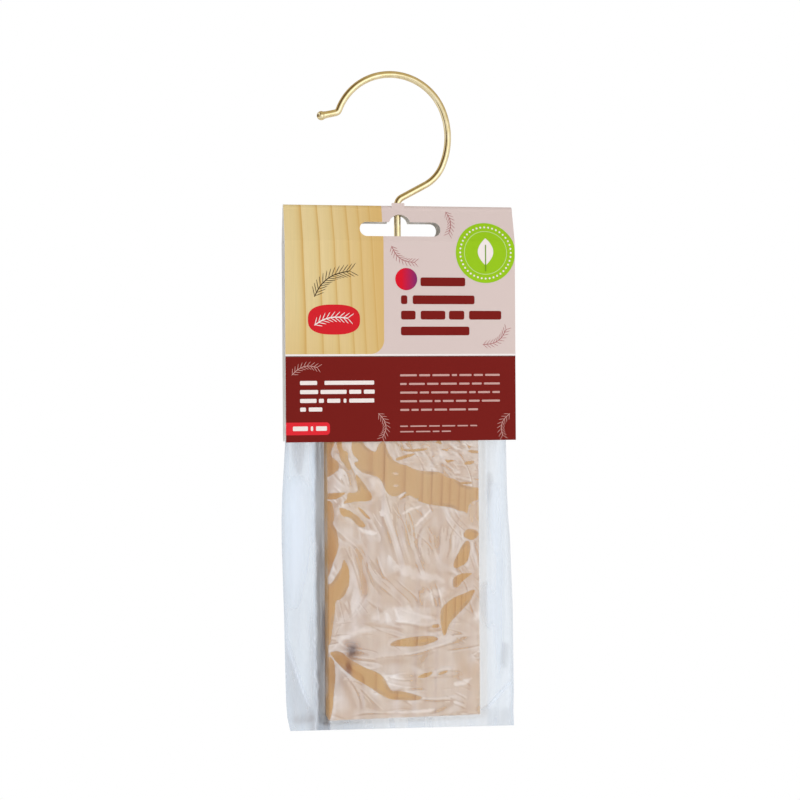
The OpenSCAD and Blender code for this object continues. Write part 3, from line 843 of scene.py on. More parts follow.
# Painted highlight just outside the clinging places, painted shade just inside them, and painted light and
# shade on the flanks of pleats and creases
rim_highlight = np.exp(-((cling - 0.9) / (0.7 + 0.5 * np.clip(patchy, 0, 1))) ** 2) * np.clip(0.30 + patchy, 0, 1)
inner_rim_shade = np.exp(-((cling + 0.55) / 0.55) ** 2) * np.clip(0.35 + film_noise(x, z, 6, 6, 4), 0, 1)
light_flank, dark_flank = np.clip(flanks, 0, 1) * standing_off, np.clip(-flanks, 0, 1) * standing_off
knot_near = np.exp(-(np.hypot(x - KNOT[0], (z - KNOT[1]) * 0.8) / 3.4) ** 2)
lower_left = smooth_step(6, -24, x) * smooth_step(-120, -140, z)
milk_and_sheen = 0.385 + 0.045 * soft + 0.050 * swirl + 0.07 * lower_left
milk_and_sheen *= (1 - 0.42 * resting) * (1 - 0.70 * knot_near)
milk_and_sheen += 0.10 * light_flank - 0.10 * dark_flank
# Painted highlights from outlines, rims, lit flanks and the swirl's highs; painted shade from shaded flanks,
# inner rims and the swirl's lows
shine = np.clip(shine + 0.30 * rim_highlight + 0.34 * light_flank * np.clip(0.6 + soft, 0, 1)
                + 0.16 * np.clip(swirl, 0, 1) * standing_off, 0, 1)
shade = np.clip(0.45 * dark_flank + 0.9 * inner_rim_shade + 0.12 * np.clip(-swirl, 0, 1) * standing_off, 0, 1)
thin = 0.012 + 0.045 * smooth_step(0.5, -1.0, outline_distance(x, z, CLINGING["band"])) + 0.20 * inner_rim_shade

# Beside the board: clearer on the slopes, and clear and dull along its left edge
side_milk_and_sheen, side_shine, side_shade, billow = flat_sides(x, z)
tent = smooth_step(TENT_LEFT - 0.6, TENT_LEFT + 0.6, x) * smooth_step(TENT_RIGHT + 0.6, TENT_RIGHT - 0.6, x)
near_wood = smooth_step(BOARD_LEFT - 2.4, BOARD_LEFT - 1.2, x) * smooth_step(BOARD_LEFT + 0.5, BOARD_LEFT, x)
side_milk_and_sheen *= (1 - 0.45 * tent) * (1 - 0.8 * near_wood)
side_shine *= 1 - near_wood
side_shade *= 1 - 0.5 * tent
share = share_over_board(x, z, 0.15, -0.15)
build_film("front_film", -1, grid, lift, billow, share,
           cling=np.where((share > 0.02) | (near_wood > 0.9), cling, CLING_FAR), thin=thin,
           over=(milk_and_sheen, shine, shade), beside=(side_milk_and_sheen, side_shine, side_shade))

# The rear layer clings and creases in places of its own
grid = film_grid(fine=0.5, coarse=0.9)
x, z = grid[:2]
soft = film_noise(x, z, 12, 16, 24)
cling = 3.2 * film_noise(x + 4.0 * soft + 0.35 * z, z, 9, 30, 21) + 2.0
swirl = film_noise(x + 2.5 * soft, z + 5.0 * film_noise(x, z, 16, 16, 35), 6.5, 15.0, 36)
ridges, flanks = np.zeros(x.shape), np.zeros(x.shape)
for angle, wide, long, seed in [(-80, 5.5, 34, 61), (-64, 5.0, 26, 62), (-104, 6.0, 28, 63)]:
    height, flank = creases(x, z, angle, wide, long, seed)
    ridges = np.maximum(ridges, height)
    flanks = np.where(np.abs(flank) > np.abs(flanks), flank, flanks)
standing_off = smooth_step(-0.2, 0.5, cling)
light_flank, dark_flank = np.clip(flanks, 0, 1) * standing_off, np.clip(-flanks, 0, 1) * standing_off
lift = 0.35 * smooth_step(-0.5, 2.5, cling) + 0.25 * ridges * standing_off
# Milkiness with its painted sheen, painted highlights on lit flanks and the swirl's highs, and painted shade
# on shaded flanks
milk_and_sheen = 0.38 + 0.05 * swirl + 0.08 * light_flank - 0.08 * dark_flank
shine = 0.34 * light_flank + 0.12 * np.clip(swirl, 0, 1) * standing_off
shade = 0.45 * dark_flank

# Its left-hand slope lies in the board's shadow, and its right-hand one a little. This shadow
# is painted as shade, and the left slope gets painted streaks of highlight
side_milk_and_sheen, side_shine, side_shade, billow = flat_sides(x, z)
slope_start = x + 0.5 * film_noise(x, z, 400, 9, 19)
tent = smooth_step(TENT_LEFT - 1.2, TENT_LEFT + 1.0, slope_start)
tent *= smooth_step(BOARD_LEFT + 1.5, BOARD_LEFT + 0.9, x)
right_tent = smooth_step(TENT_RIGHT + 0.4, TENT_RIGHT - 0.8, x)
right_tent *= smooth_step(BOARD_RIGHT - 0.3, BOARD_RIGHT + 0.3, x)
streak = film_noise(x, z, 1.1, 22, 31)
to_the_wood = smooth_step(TENT_LEFT + 1.5, BOARD_LEFT - 0.8, x)
tent_shade = tent * (0.62 - 0.14 * low_down(z) + 0.12 * streak + 0.30 * to_the_wood)
side_milk_and_sheen += tent * (0.44 + 0.08 * streak)
side_shine = side_shine * (1 - 0.7 * tent) + tent * 0.30 * np.clip(streak, 0, 1)
side_shade = np.maximum(np.maximum(side_shade, tent_shade), 0.30 * right_tent)
share = share_over_board(x, z, -0.30, -0.80)
build_film("rear_film", 1, grid, lift, billow, share,
           cling=np.where(share > 0.5, cling, CLING_FAR), thin=0.05,
           over=(milk_and_sheen, shine, shade), beside=(side_milk_and_sheen, side_shine, side_shade))

# Header card. A sheet of 0.4 mm solid board, printed and varnished on its outside, die cut with
# the slot and the tongue, and folded over the stem. Its cut edges and its inside are bare white.
CARD_LEFT, CARD_RIGHT = -48.8, 49.6
CARD_HALF = 6.55
CARD_T = 0.4
FOLD_R = 2.1
FOLD_MID_Z = 5.2
# The front's upper left is printed with wood grain, whose lines lean and fan out, and a rule
# with a shade under it runs below. Lines and span are X at the level of the slot.
WOOD_PANEL_RIGHT = -7.1
WOOD_PANEL_ROUND = 6.0
RULE_TOP, RULE_BOTTOM, RULE_SHADE = -55.9, -56.7, -57.1
GRAIN_LINES = [-41.1, -34.3, -27.9, -21.8, -16.8, -12.0]
GRAIN_SPAN = (-52.0, -4.0)
GRAIN_LEAN, GRAIN_FAN = 0.018, 0.0009
GRAIN_SWAY = 1.2

# Offset print under a satin varnish: flat clean colours, even and slightly glossy.
card, tree = start_material("printed_card")
in_mm = measured_in_mm(tree)
split = add_node(tree, "SeparateXYZ", {0: in_mm})
facing = add_node(tree, "SeparateXYZ", {0: add_node(tree, "NewGeometry").outputs["Normal"]})
# Printed grain: lines that sway over 20 mm, and fibres 0.7 mm wide and 25 mm long
grain_fan = add_node(tree, "Math", {
    0: split.outputs["X"], 1: GRAIN_FAN, 2: GRAIN_LEAN - GRAIN_FAN * CARD_LEFT,
}, operation="MULTIPLY_ADD")
grain_x = add_node(tree, "Math", {
    0: split.outputs["Z"], 1: grain_fan, 2: split.outputs["X"],
}, operation="MULTIPLY_ADD")
grain_sway = add_node(tree, "TexNoise", {
    "Vector": add_node(tree, "VectorMath", {0: in_mm, 1: (0.05, 0, 0.02)}, operation="MULTIPLY"),
    "Scale": 1.0, "Detail": 1.0,
})
grain_at = add_node(tree, "Math", {0: grain_sway, 1: GRAIN_SWAY, 2: grain_x}, operation="MULTIPLY_ADD")
grain_place = add_node(tree, "MapRange", {
    0: grain_at, 1: GRAIN_SPAN[0] + GRAIN_SWAY / 2, 2: GRAIN_SPAN[1] + GRAIN_SWAY / 2,
})
grain_season = add_node(tree, "ValToRGB", {0: grain_place})
fill_ramp(grain_season.color_ramp, saw_teeth(GRAIN_SPAN, GRAIN_LINES, 0.22))
grain = add_node(tree, "ValToRGB", {0: grain_season})
fill_ramp(grain.color_ramp, [(0.0, "#DFC48A"), (0.06, "#E2CB97"), (0.70, "#DFC891"), (0.88, "#DABE82"),
                             (0.96, "#D2AC69"), (1.0, "#CFA45E")])
grain_fibre = add_node(tree, "TexNoise", {
    "Vector": add_node(tree, "VectorMath", {0: in_mm, 1: (1.4, 0, 0.04)}, operation="MULTIPLY"),
    "Scale": 1.0, "Detail": 3.0,
})
grain_tone = add_node(tree, "MapRange", {0: grain_fibre, 1: 0.3, 2: 0.7, 3: 0.97, 4: 1.03})
grain_toned = add_node(tree, "Mix", {
    0: 1.0, 6: grain, 7: grain_tone,
}, data_type="RGBA", blend_type="MULTIPLY")
# The panel turns warmer to its right and to its foot
warm_side = add_node(tree, "MapRange", {0: grain_x, 1: -34.0, 2: -8.0, 3: 0.0, 4: 0.68})
warm_foot = add_node(tree, "MapRange", {0: split.outputs["Z"], 1: -34.0, 2: -56.0, 3: 0.0, 4: 0.30})
warm_share = add_node(tree, "Math", {0: warm_side, 1: warm_foot}, operation="MAXIMUM")
wood_print = add_node(tree, "Mix", {0: warm_share, 6: grain_toned, 7: "#D4AA62"}, data_type="RGBA")
# The panel's lower right corner is round
corner_x = add_node(tree, "Math", {
    0: split.outputs["X"], 1: WOOD_PANEL_RIGHT - WOOD_PANEL_ROUND,
}, operation="SUBTRACT")
corner_z = add_node(tree, "Math", {
    0: RULE_TOP + WOOD_PANEL_ROUND, 1: split.outputs["Z"],
}, operation="SUBTRACT")
corner_x_out = add_node(tree, "Math", {0: corner_x, 1: 0.0}, operation="MAXIMUM")
corner_z_out = add_node(tree, "Math", {0: corner_z, 1: 0.0}, operation="MAXIMUM")
corner_way = add_node(tree, "CombineXYZ", {0: corner_x_out, 1: corner_z_out})
corner_far = add_node(tree, "VectorMath", {0: corner_way}, operation="LENGTH")
in_wood = add_node(tree, "Math", {0: corner_far, 1: WOOD_PANEL_ROUND}, operation="LESS_THAN")
front_side = add_node(tree, "Math", {0: split.outputs["Y"], 1: 0.0}, operation="LESS_THAN")
wood_here = add_node(tree, "Math", {0: in_wood, 1: front_side}, operation="MULTIPLY")
upper = add_node(tree, "Mix", {0: wood_here, 6: "#D9C7C2", 7: wood_print}, data_type="RGBA")
# The rule and the ground below it. The rear panel is plain.
front_z = add_node(tree, "Mix", {0: front_side, 2: 0.0, 3: split.outputs["Z"]})
below_rule_top = add_node(tree, "Math", {0: front_z, 1: RULE_TOP}, operation="LESS_THAN")
below_rule = add_node(tree, "Math", {0: front_z, 1: RULE_BOTTOM}, operation="LESS_THAN")
below_shade = add_node(tree, "Math", {0: front_z, 1: RULE_SHADE}, operation="LESS_THAN")
ruled = add_node(tree, "Mix", {0: below_rule_top, 6: upper, 7: "#EFE8E6"}, data_type="RGBA")
shaded = add_node(tree, "Mix", {0: below_rule, 6: ruled, 7: "#6A4440"}, data_type="RGBA")
printed = add_node(tree, "Mix", {0: below_shade, 6: shaded, 7: "#741813"}, data_type="RGBA")
# Ink is on the outside of the panels and of the fold only
outward = add_node(tree, "Math", {0: facing.outputs["Y"], 1: split.outputs["Y"]}, operation="MULTIPLY")
is_panel = add_node(tree, "Math", {0: outward, 1: 0.4}, operation="GREATER_THAN")
faces_up = add_node(tree, "Math", {0: facing.outputs["Z"], 1: 0.5}, operation="GREATER_THAN")
near_fold = add_node(tree, "Math", {0: split.outputs["Z"], 1: FOLD_MID_Z + 0.2}, operation="GREATER_THAN")
is_fold = add_node(tree, "Math", {0: faces_up, 1: near_fold}, operation="MULTIPLY")
is_outside = add_node(tree, "Math", {0: is_panel, 1: is_fold}, operation="MAXIMUM")
paper = add_node(tree, "Mix", {0: is_outside, 6: "#F6F5F2", 7: printed}, data_type="RGBA")
# Pulp shows as bumps, drawn 0.9 mm wide, which is coarser than it is
pulp = add_node(tree, "TexNoise", {"Vector": in_mm, "Scale": 1.1, "Detail": 4.0})
relief = add_node(tree, "Bump", {"Height": pulp, "Strength": 0.12, "Distance": 0.0001})
sheen = add_node(tree, "MapRange", {0: is_outside, 3: 0.85, 4: 0.5})
varnish = add_node(tree, "BsdfPrincipled", {
    "Base Color": paper, "Roughness": sheen, "Specular IOR Level": 0.12, "Normal": relief,
})
add_node(tree, "OutputMaterial", {0: varnish})
dress("header_card", card)

# Print on the card. Small offset printing, crisp at any distance and laid on the front panel:
# heading and text as plain bars, a round seal, a bullet, a size tab, a label and thin sprigs.
PRINT_PROUD = 0.035


def panel_y(z):
    """Y of the front panel's outside at a height, in mm."""
    spread = min(max((FOLD_MID_Z - z) / (FOLD_MID_Z - MOUTH_Z), 0), 1)
    return -(FOLD_R + spread * (CARD_HALF + CARD_T - FOLD_R))


def ink(name, colour, second=None, span=(0, 1)):
    """Printing ink in one colour, or one that runs into a second over a span of X in mm."""
    material, tree = start_material(name)
    in_mm = measured_in_mm(tree)
    if second:
        split = add_node(tree, "SeparateXYZ", {0: in_mm})
        across = add_node(tree, "MapRange", {0: split.outputs["X"], 1: span[0], 2: span[1]})
        colour = add_node(tree, "Mix", {0: across, 6: colour, 7: second}, data_type="RGBA")
    pulp = add_node(tree, "TexNoise", {"Vector": in_mm, "Scale": 1.1, "Detail": 4.0})
    uneven = add_node(tree, "MapRange", {0: pulp, 3: 0.97, 4: 1.03})
    laid = add_node(tree, "Mix", {0: 1.0, 6: colour, 7: uneven}, data_type="RGBA", blend_type="MULTIPLY")
    skin = add_node(tree, "BsdfPrincipled", {
        "Base Color": laid, "Roughness": 0.5, "Specular IOR Level": 0.12,
    })
    add_node(tree, "OutputMaterial", {0: skin})
    return material


def lay_on_panel(name, mesh, layers):
    """Moves a flat mesh from the plane Y = 0 onto the front panel, facing out, as a piece."""
    for vertex in mesh.vertices:
        vertex.co.y += (panel_y(vertex.co.z / MM) - layers * PRINT_PROUD) * MM
    mesh.update()
    for face in mesh.polygons:
        if face.normal.y > 0:
            face.flip()
    obj = bpy.data.objects.new(name, mesh)
    bpy.context.scene.collection.objects.link(obj)
    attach(obj, "package")


def print_shapes(name, outlines, material, layers=1):
    """Flat shapes laid on the front panel, from outlines in mm of X and Z."""
    work = bmesh.new()
    for outline in outlines:
        work.faces.new([work.verts.new((x * MM, 0, z * MM)) for x, z in outline])
    for level in (FOLD_MID_Z, MOUTH_Z):
        bmesh.ops.bisect_plane(work, geom=work.verts[:] + work.edges[:] + work.faces[:],
                               plane_co=(0, 0, level * MM), plane_no=(0, 0, 1))
    bmesh.ops.triangulate(work, faces=work.faces[:])
    mesh = bpy.data.meshes.new(name)
    work.to_mesh(mesh)
    work.free()
    mesh.materials.append(material)
    lay_on_panel(name, mesh, layers)


def pill(left, right, bottom, top, round_r, corners=8):
    """A bar with round ends or corners."""
    round_r = min(round_r, (right - left) / 2, (top - bottom) / 2)
    inner_left, inner_right = left + round_r, right - round_r
    inner_bottom, inner_top = bottom + round_r, top - round_r
    outline = []
    for mid_x, mid_z, start in [(inner_right, inner_top, 0), (inner_left, inner_top, 90),
                                (inner_left, inner_bottom, 180), (inner_right, inner_bottom, 270)]:
        for i in range(corners + 1):
            angle = math.radians(start + 90 * i / corners)
            outline.append((mid_x + round_r * math.cos(angle), mid_z + round_r * math.sin(angle)))
    return outline


def on_circle(mid_x, mid_z, circle_r, i, sides):
    """The i-th of some even points on a circle."""
    angle = 2 * math.pi * i / sides
    return mid_x + circle_r * math.cos(angle), mid_z + circle_r * math.sin(angle)


def disc(mid_x, mid_z, disc_r, sides=72, right_limit=math.inf):
    """A round outline, cut off at a right limit."""
    around = [on_circle(mid_x, mid_z, disc_r, i, sides) for i in range(sides)]
    return [(min(x, right_limit), z) for x, z in around]


def ring_parts(mid_x, mid_z, inner_r, outer_r, sides=48):
    """A ring as short four-cornered pieces."""
    return [[on_circle(mid_x, mid_z, r, i + step, sides)
             for r, step in [(inner_r, 0), (outer_r, 0), (outer_r, 1), (inner_r, 1)]] for i in range(sides)]


def word_bars(lines, height, round_r):
    """Bars for lines of words: each line is (middle Z, [(left, right), ...])."""
    return [pill(left, right, mid - height / 2, mid + height / 2, round_r)
            for mid, words in lines for left, right in words]


def filled_line(left, right, draw):
    """Words of uneven lengths that fill a line."""
    words, at = [], left
    while at < right - 1.2:
        end = min(at + draw.uniform(1.8, 7.5), right)
        if right - end < 1.6:
            end = right
        words.append((at, end))
        at = end + 1.0
    return words


white_ink = ink("white_ink", "#F1E6E2")
pale_ink = ink("pale_pink_ink", "#C99E97")
# Each line is its middle's Z and its bars' left and right ends
HEADING = [
    (-25.4, [(8.6, 27.9)]),
    (-33.0, [(0.2, 2.9), (5.2, 31.9)]),
    (-39.5, [(0.2, 6.4), (8.6, 19.2), (20.8, 27.4), (29.5, 43.5)]),
    (-46.2, [(0.1, 29.6)]),
]
print_shapes("heading_bars", word_bars(HEADING, height=3.7, round_r=0.8), ink("burgundy_ink", "#781713"))
STATEMENT = [
    (-67.9, [(-42.8, -35.6), (-32.5, -11.5)]),
    (-71.7, [(-42.8, -35.2), (-34.2, -23.2), (-22.1, -17.0), (-15.9, -11.3)]),
    (-75.4, [(-42.8, -35.9), (-34.9, -32.8), (-31.4, -25.9), (-24.5, -23.3), (-22.1, -11.5)]),
    (-79.0, [(-42.8, -40.4), (-39.2, -33.5)]),
]
print_shapes("statement_bars", word_bars(STATEMENT, height=1.7, round_r=0.4), white_ink)
BODY_TOP, BODY_PITCH = -64.9, 3.65
BODY_LEFT, BODY_RIGHTS = -0.4, [42.7, 42.7, 42.7, 42.7, 33.1]
draw = np.random.default_rng(4)
body_lines = [(BODY_TOP - BODY_PITCH * i, filled_line(BODY_LEFT, right, draw))
              for i, right in enumerate(BODY_RIGHTS)]
print_shapes("body_text_bars", word_bars(body_lines, height=0.85, round_r=0.3), pale_ink)
foot_lines = [(-86.4, filled_line(-0.5, 34.4, draw)), (-88.7, filled_line(-0.5, 21.3, draw))]
print_shapes("footnote_bars", word_bars(foot_lines, height=0.55, round_r=0.2), pale_ink)

# The tab runs off the card's left edge, and the seal off its right edge
TAB_RIGHT, TAB_BOTTOM, TAB_TOP = -30.3, -89.7, -84.4
EDGE_INSET = 0.02
tab = pill(CARD_LEFT - 3, TAB_RIGHT, TAB_BOTTOM, TAB_TOP, 1.6)
tab = [(max(x, CARD_LEFT + EDGE_INSET), z) for x, z in tab]
print_shapes("size_tab", [tab], ink("signal_red_ink", "#E22A35"))
TAB_WORDS = [(-87.0, [(-45.9, -39.6), (-38.4, -37.4), (-36.2, -31.6)])]
print_shapes("size_tab_bars", word_bars(TAB_WORDS, height=1.9, round_r=0.4), white_ink, 2)

SEAL_X, SEAL_Z, SEAL_R = 36.8, -12.9, 12.9
SEAL_RING = (9.05, 9.35)
BEADS, BEAD_RING_R, BEAD_R = 40, 11.0, 0.42
print_shapes("round_seal", [disc(SEAL_X, SEAL_Z, SEAL_R, right_limit=CARD_RIGHT - EDGE_INSET)],
             ink("leaf_green_ink", "#97C51C"))
print_shapes("seal_ring", ring_parts(SEAL_X, SEAL_Z, *SEAL_RING), ink("pale_green_ink", "#C3DE8C"), 2)
beads = [disc(*on_circle(SEAL_X, SEAL_Z, BEAD_RING_R, i, BEADS), BEAD_R, 12) for i in range(BEADS)]
print_shapes("seal_beads", beads, white_ink, 2)
LEAF_TIP, LEAF_FOOT, LEAF_HALF, LEAF_STEPS = 6.2, -5.4, 3.4, 12
leaf = [(SEAL_X + side * LEAF_HALF * math.sin(math.pi * i / LEAF_STEPS) ** 0.9,
         SEAL_Z + LEAF_FOOT + (LEAF_TIP - LEAF_FOOT) * i / LEAF_STEPS)
        for side, order in [(1, range(0, LEAF_STEPS + 1)), (-1, range(LEAF_STEPS - 1, 0, -1))] for i in order]
print_shapes("seal_leaf", [leaf], white_ink, 2)
print_shapes("seal_leaf_vein", [pill(SEAL_X - 0.25, SEAL_X + 0.25, SEAL_Z - 8.0, SEAL_Z + 3.4, 0.25)],
             ink("mid_green_ink", "#6E9A1C"), 3)

BULLET_X, BULLET_Z, BULLET_R = 2.5, -24.3, 4.7
print_shapes("bullet", [disc(BULLET_X, BULLET_Z, BULLET_R)],
             ink("red_to_plum_ink", "#D8142A", "#6E2A6B", (BULLET_X - 2.0, BULLET_X + 5.2)))
LABEL_X, LABEL_Z, LABEL_W, LABEL_H = -28.3, -41.4, 22.0, 12.6
# An oval with full corners
oval = [on_circle(0, 0, 1, i, 72) for i in range(72)]
label = [(LABEL_X + LABEL_W / 2 * math.copysign(abs(a) ** 0.75, a),
          LABEL_Z + LABEL_H / 2 * math.copysign(abs(b) ** 0.75, b)) for a, b in oval]
print_shapes("plain_label", [label], ink("label_red_ink", "#D2202A"))

# Needles and stem of a sprig lie this far over each other, and a stem is laid in short steps
SPRIG_LAYER = 0.006
STEM_STEP = 0.5
SMALL_SPRIG = {"Needle length": 2.6, "Needle width": 0.20, "Needle spacing": 1.35, "Stem width": 0.24,
               "Needle angle": 44.0}


def sprig_tree(material):
    """Geometry Nodes that grow a printed sprig on every stem curve: a thin stem and two rows
    of needles."""
    tree = bpy.data.node_groups.new("cedar_sprig", "GeometryNodeTree")
    tree.interface.new_socket("Geometry", in_out="INPUT", socket_type="NodeSocketGeometry")
    for name, size in SMALL_SPRIG.items():
        tree.interface.new_socket(name, in_out="INPUT", socket_type="NodeSocketFloat").default_value = size
    tree.interface.new_socket("Geometry", in_out="OUTPUT", socket_type="NodeSocketGeometry")
    given = add_node(tree, "NodeGroupInput")
    to_metres = {}
    for name in ("Needle length", "Needle width", "Needle spacing", "Stem width"):
        to_metres[name] = add_node(tree, "Math", {0: given.outputs[name], 1: MM}, operation="MULTIPLY")
    angle = add_node(tree, "Math", {0: given.outputs["Needle angle"]}, operation="RADIANS")
    tangent = add_node(tree, "GeometryNodeInputTangent")
    along = add_node(tree, "FunctionNodeAlignRotationToVector", {"Vector": tangent}, axis="X", pivot_axis="Y")
    needle_size = add_node(tree, "CombineXYZ", {
        0: to_metres["Needle length"], 1: 1.0, 2: to_metres["Needle width"],
    })
    blade = add_node(tree, "GeometryNodeMeshCircle", {"Vertices": 8, "Radius": 0.5}, fill_type="NGON")
    stood = add_node(tree, "GeometryNodeTransform", {
        "Geometry": blade, "Translation": (0.5, 0, 0), "Rotation": (math.radians(90), 0, 0),
    })
    needle = add_node(tree, "GeometryNodeTransform", {"Geometry": stood, "Scale": needle_size})
    parts = add_node(tree, "GeometryNodeJoinGeometry")
    needle_points = add_node(tree, "GeometryNodeResampleCurve", {
        "Curve": given.outputs["Geometry"], "Length": to_metres["Needle spacing"],
    }, mode="LENGTH")
    for side in (-1, 1):
        turn_by = add_node(tree, "Math", {0: angle, 1: side}, operation="MULTIPLY")
        turn_vector = add_node(tree, "CombineXYZ", {1: turn_by})
        turned = add_node(tree, "FunctionNodeRotateRotation", {
            0: along, 1: turn_vector,
        }, rotation_space="GLOBAL")
        placed = add_node(tree, "GeometryNodeInstanceOnPoints", {
            "Points": needle_points, "Instance": needle, "Rotation": turned,
        })
        layered = add_node(tree, "GeometryNodeTransform", {
            "Geometry": placed, "Translation": (0, side * SPRIG_LAYER * MM, 0),
        })
        tree.links.new(layered.outputs[0], parts.inputs[0])
    stem_points = add_node(tree, "GeometryNodeResampleCurve", {
        "Curve": given.outputs["Geometry"], "Length": STEM_STEP * MM,
    }, mode="LENGTH")
    stem_piece = add_node(tree, "GeometryNodeMeshGrid", {
        "Size X": STEM_STEP * MM, "Size Y": to_metres["Stem width"], "Vertices X": 2, "Vertices Y": 2,
    })
    stem_stood = add_node(tree, "GeometryNodeTransform", {
        "Geometry": stem_piece, "Rotation": (math.radians(90), 0, 0),
    })
    stem = add_node(tree, "GeometryNodeInstanceOnPoints", {
        "Points": stem_points, "Instance": stem_stood, "Rotation": along,
    })
    stem_layered = add_node(tree, "GeometryNodeTransform", {
        "Geometry": stem, "Translation": (0, -2 * SPRIG_LAYER * MM, 0),
    })
    tree.links.new(stem_layered.outputs[0], parts.inputs[0])
    real = add_node(tree, "GeometryNodeRealizeInstances", {"Geometry": parts})
    inked = add_node(tree, "GeometryNodeSetMaterial", {"Geometry": real, "Material": material})
    add_node(tree, "NodeGroupOutput", {0: inked})
    return tree


def print_sprigs(name, stems, material, layers, sizes):
    """Sprigs along stems, each a list of (X, Z) points in mm, laid on the front panel."""
    curve = bpy.data.curves.new(name + "_stems", "CURVE")
    curve.dimensions = "3D"
    for stem in stems:
        points = curved(stem, 12)
        spline = curve.splines.new("POLY")
        spline.points.add(len(points) - 1)
        for point, (x, z) in zip(spline.points, points):
            point.co = (x * MM, 0, z * MM, 1)
    source = bpy.data.objects.new(name + "_stems", curve)
    bpy.context.scene.collection.objects.link(source)
    modifier = source.modifiers.new("sprigs", "NODES")
    modifier.node_group = sprig_tree(material)
    for item in modifier.node_group.interface.items_tree:
        if item.in_out == "INPUT" and item.name in sizes:
            modifier[item.identifier] = sizes[item.name]
    bpy.context.view_layer.update()
    evaluated = source.evaluated_get(bpy.context.evaluated_depsgraph_get())
    mesh = bpy.data.meshes.new_from_object(evaluated)
    mesh.name = name
    bpy.data.objects.remove(source)
    lay_on_panel(name, mesh, layers)


print_sprigs("upper_sprigs", [
    [(20.6, 4.6), (22.0, 1.8), (22.2, -1.4), (21.2, -4.6)],
    [(-3.6, -10.6), (-1.6, -14.2), (1.8, -16.6), (6.0, -17.2)],
    [(35.6, -52.0), (40.0, -51.4), (43.4, -49.2), (45.6, -45.6)],
], ink("thin_plum_ink", "#A2484C"), 1, SMALL_SPRIG)
print_sprigs("lower_sprigs", [
    [(-46.0, -64.4), (-43.2, -62.0), (-39.6, -60.8), (-35.6, -61.4)],
    [(-9.6, -81.0), (-7.2, -84.0), (-6.6, -87.4), (-8.0, -90.8)],
    [(46.8, -81.6), (44.2, -84.2), (43.2, -87.4), (43.8, -90.6)],
], ink("thin_rose_ink", "#D6A59E"), 1, SMALL_SPRIG)
print_sprigs("label_sprig", [[(-36.4, -43.6), (-32.6, -41.4), (-28.0, -40.4), (-22.6, -40.8)]], white_ink, 2,
             {"Needle length": 3.4, "Needle width": 0.34, "Needle spacing": 1.75, "Stem width": 0.5,
              "Needle angle": 42.0})
print_sprigs("panel_sprig", [[(-36.4, -31.6), (-33.4, -26.6), (-28.4, -22.8), (-21.6, -21.0)]],
             ink("dark_brown_ink", "#3A2A20"), 1,
             {"Needle length": 4.4, "Needle width": 0.30, "Needle spacing": 1.5, "Stem width": 0.42,
              "Needle angle": 40.0})

# Glue strips. Two strips of milky hot glue, pressed flat between the film and the card's
# panels, which they hold together. They are lumpy every 2 mm or so.
glue, tree = start_material("milky_glue")
lumps = add_node(tree, "TexNoise", {"Vector": measured_in_mm(tree), "Scale": 0.42, "Detail": 2.0})
tones = add_node(tree, "ValToRGB", {0: lumps})
fill_ramp(tones.color_ramp, [(0.3, "#D9D2BE"), (0.7, "#EEE9DC")])
relief = add_node(tree, "Bump", {"Height": lumps, "Strength": 0.4, "Distance": 0.0002})
wax = add_node(tree, "BsdfPrincipled", {"Base Color": tones, "Roughness": 0.4, "Normal": relief})
add_node(tree, "OutputMaterial", {0: wax})
dress("front_glue_strip", glue)
dress("rear_glue_strip", glue)

# Studio. The pack hangs in front of white, lit by a large soft lamp at either side in front and
# one behind, with a pale floor far below it.
FLOOR_Z = -560.0
FLOOR_HALF = 900.0
floor_white, tree = start_material("white_floor")
mottle = add_node(tree, "TexNoise", {"Scale": 6.0, "Detail": 2.0})
tones = add_node(tree, "ValToRGB", {0: mottle})
fill_ramp(tones.color_ramp, [(0.3, "#F2F2F2"), (0.7, "#F6F6F6")])
skin = add_node(tree, "BsdfDiffuse", {"Color": tones})
add_node(tree, "OutputMaterial", {0: skin})
floor_corners = [(x * FLOOR_HALF, y * FLOOR_HALF, FLOOR_Z) for x, y in [(-1, -1), (1, -1), (1, 1), (-1, 1)]]
floor = build_mesh("floor", floor_corners, [(0, 1, 2, 3)], floor_white)

world = bpy.data.worlds.new("white_studio")
bpy.context.scene.world = world
world.use_nodes = True
tree = world.node_tree
tree.nodes.clear()
path = add_node(tree, "LightPath")
direction = add_node(tree, "TexCoord").outputs["Generated"]
upward = add_node(tree, "SeparateXYZ", {0: direction})
ceiling = add_node(tree, "MapRange", {
    0: upward.outputs["Z"], 1: 0.10, 2: 0.60,
}, interpolation_type="SMOOTHSTEP")
mirror_room = add_node(tree, "Mix", {0: ceiling, 6: "#FFFFFF", 7: "#D2C29C"}, data_type="RGBA")
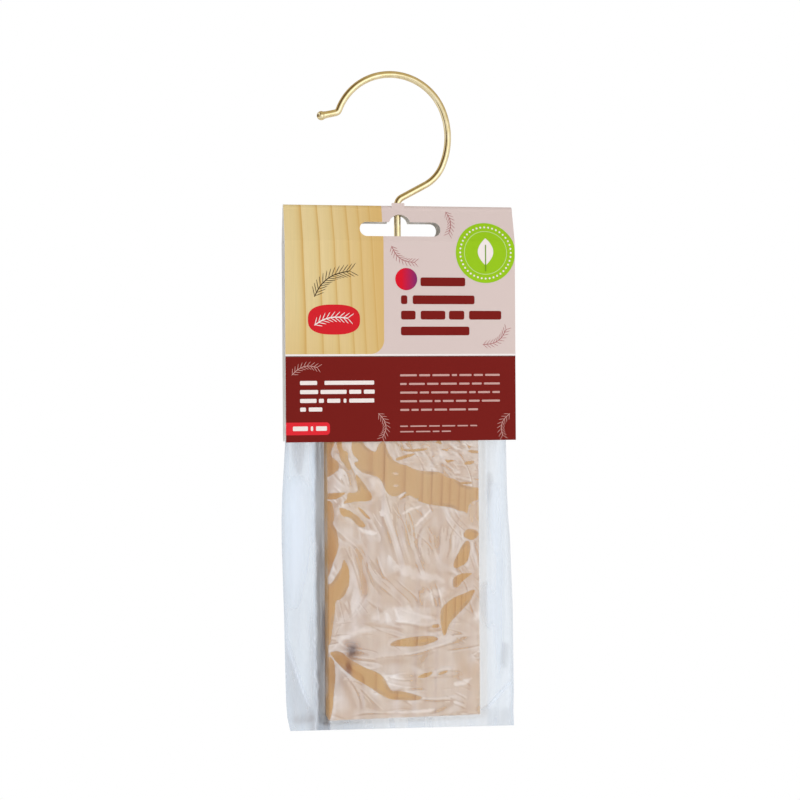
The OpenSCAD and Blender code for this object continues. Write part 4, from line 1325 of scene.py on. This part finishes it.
# What the plated wire mirrors: a white room with a tan ceiling, one bright window, and a few
# dark corners in front of the pack. A corner has a direction, the cosines where it ends and
# where it is full, and a darkness.
DARK_CORNERS = [((-0.62, -0.50, 0.60), 0.76, 0.95, 0.9), ((-0.84, -0.49, 0.24), 0.93, 0.985, 1.0),
                ((-0.85, -0.48, -0.20), 0.94, 0.985, 0.95), ((-0.58, -0.52, -0.63), 0.94, 0.98, 0.7),
                ((0.40, 0.22, -0.89), 0.92, 0.985, 0.8)]
BRIGHT_WINDOW = (0.40, -0.90, -0.12)
for corner, end, full, dark in DARK_CORNERS:
    near = add_node(tree, "VectorMath", {0: direction, 1: corner}, operation="DOT_PRODUCT")
    darkness = add_node(tree, "MapRange", {
        0: near, 1: end, 2: full, 3: 0.0, 4: dark,
    }, interpolation_type="SMOOTHSTEP")
    mirror_room = add_node(tree, "Mix", {0: darkness, 6: mirror_room, 7: "#5E4226"}, data_type="RGBA")
window_near = add_node(tree, "VectorMath", {0: direction, 1: BRIGHT_WINDOW}, operation="DOT_PRODUCT")
glare = add_node(tree, "MapRange", {
    0: window_near, 1: 0.90, 2: 0.965, 3: 0.92, 4: 1.7,
}, interpolation_type="SMOOTHSTEP")
straight = add_node(tree, "Math", {
    0: path.outputs["Is Camera Ray"], 1: path.outputs["Is Transmission Ray"],
}, operation="MAXIMUM")
# The pack is lit by a dimmer white than the camera sees
ambient = add_node(tree, "Background", {"Color": "#FFFFFF", "Strength": 0.42})
mirrored = add_node(tree, "Background", {"Color": mirror_room, "Strength": glare})
backdrop = add_node(tree, "Background", {"Color": "#FFFFFF", "Strength": 1.0})
lit = add_node(tree, "MixShader", {0: path.outputs["Is Glossy Ray"], 1: ambient, 2: mirrored})
shown = add_node(tree, "MixShader", {0: straight, 1: lit, 2: backdrop})
add_node(tree, "OutputWorld", {0: shown})


PACK_MIDDLE = (0, 0, -0.075)


def add_lamp(name, place, size, power):
    """A large soft lamp at a place in metres, aimed at the middle of the pack."""
    lamp_data = bpy.data.lights.new(name, "AREA")
    lamp_data.shape = "RECTANGLE"
    lamp_data.size, lamp_data.size_y = size
    lamp_data.energy = power
    lamp = bpy.data.objects.new(name, lamp_data)
    lamp.visible_glossy = False
    lamp.location = place
    lamp.rotation_euler = (Vector(PACK_MIDDLE) - Vector(place)).to_track_quat("-Z", "Y").to_euler()
    bpy.context.scene.collection.objects.link(lamp)


add_lamp("left_softbox", (-1.0, -0.56, 0.20), size=(1.0, 1.4), power=5.8)
add_lamp("right_softbox", (0.66, -0.94, 0.25), size=(1.0, 1.4), power=7.8)
add_lamp("rear_softbox", (0.35, 1.1, 0.35), size=(1.0, 1.0), power=9.0)
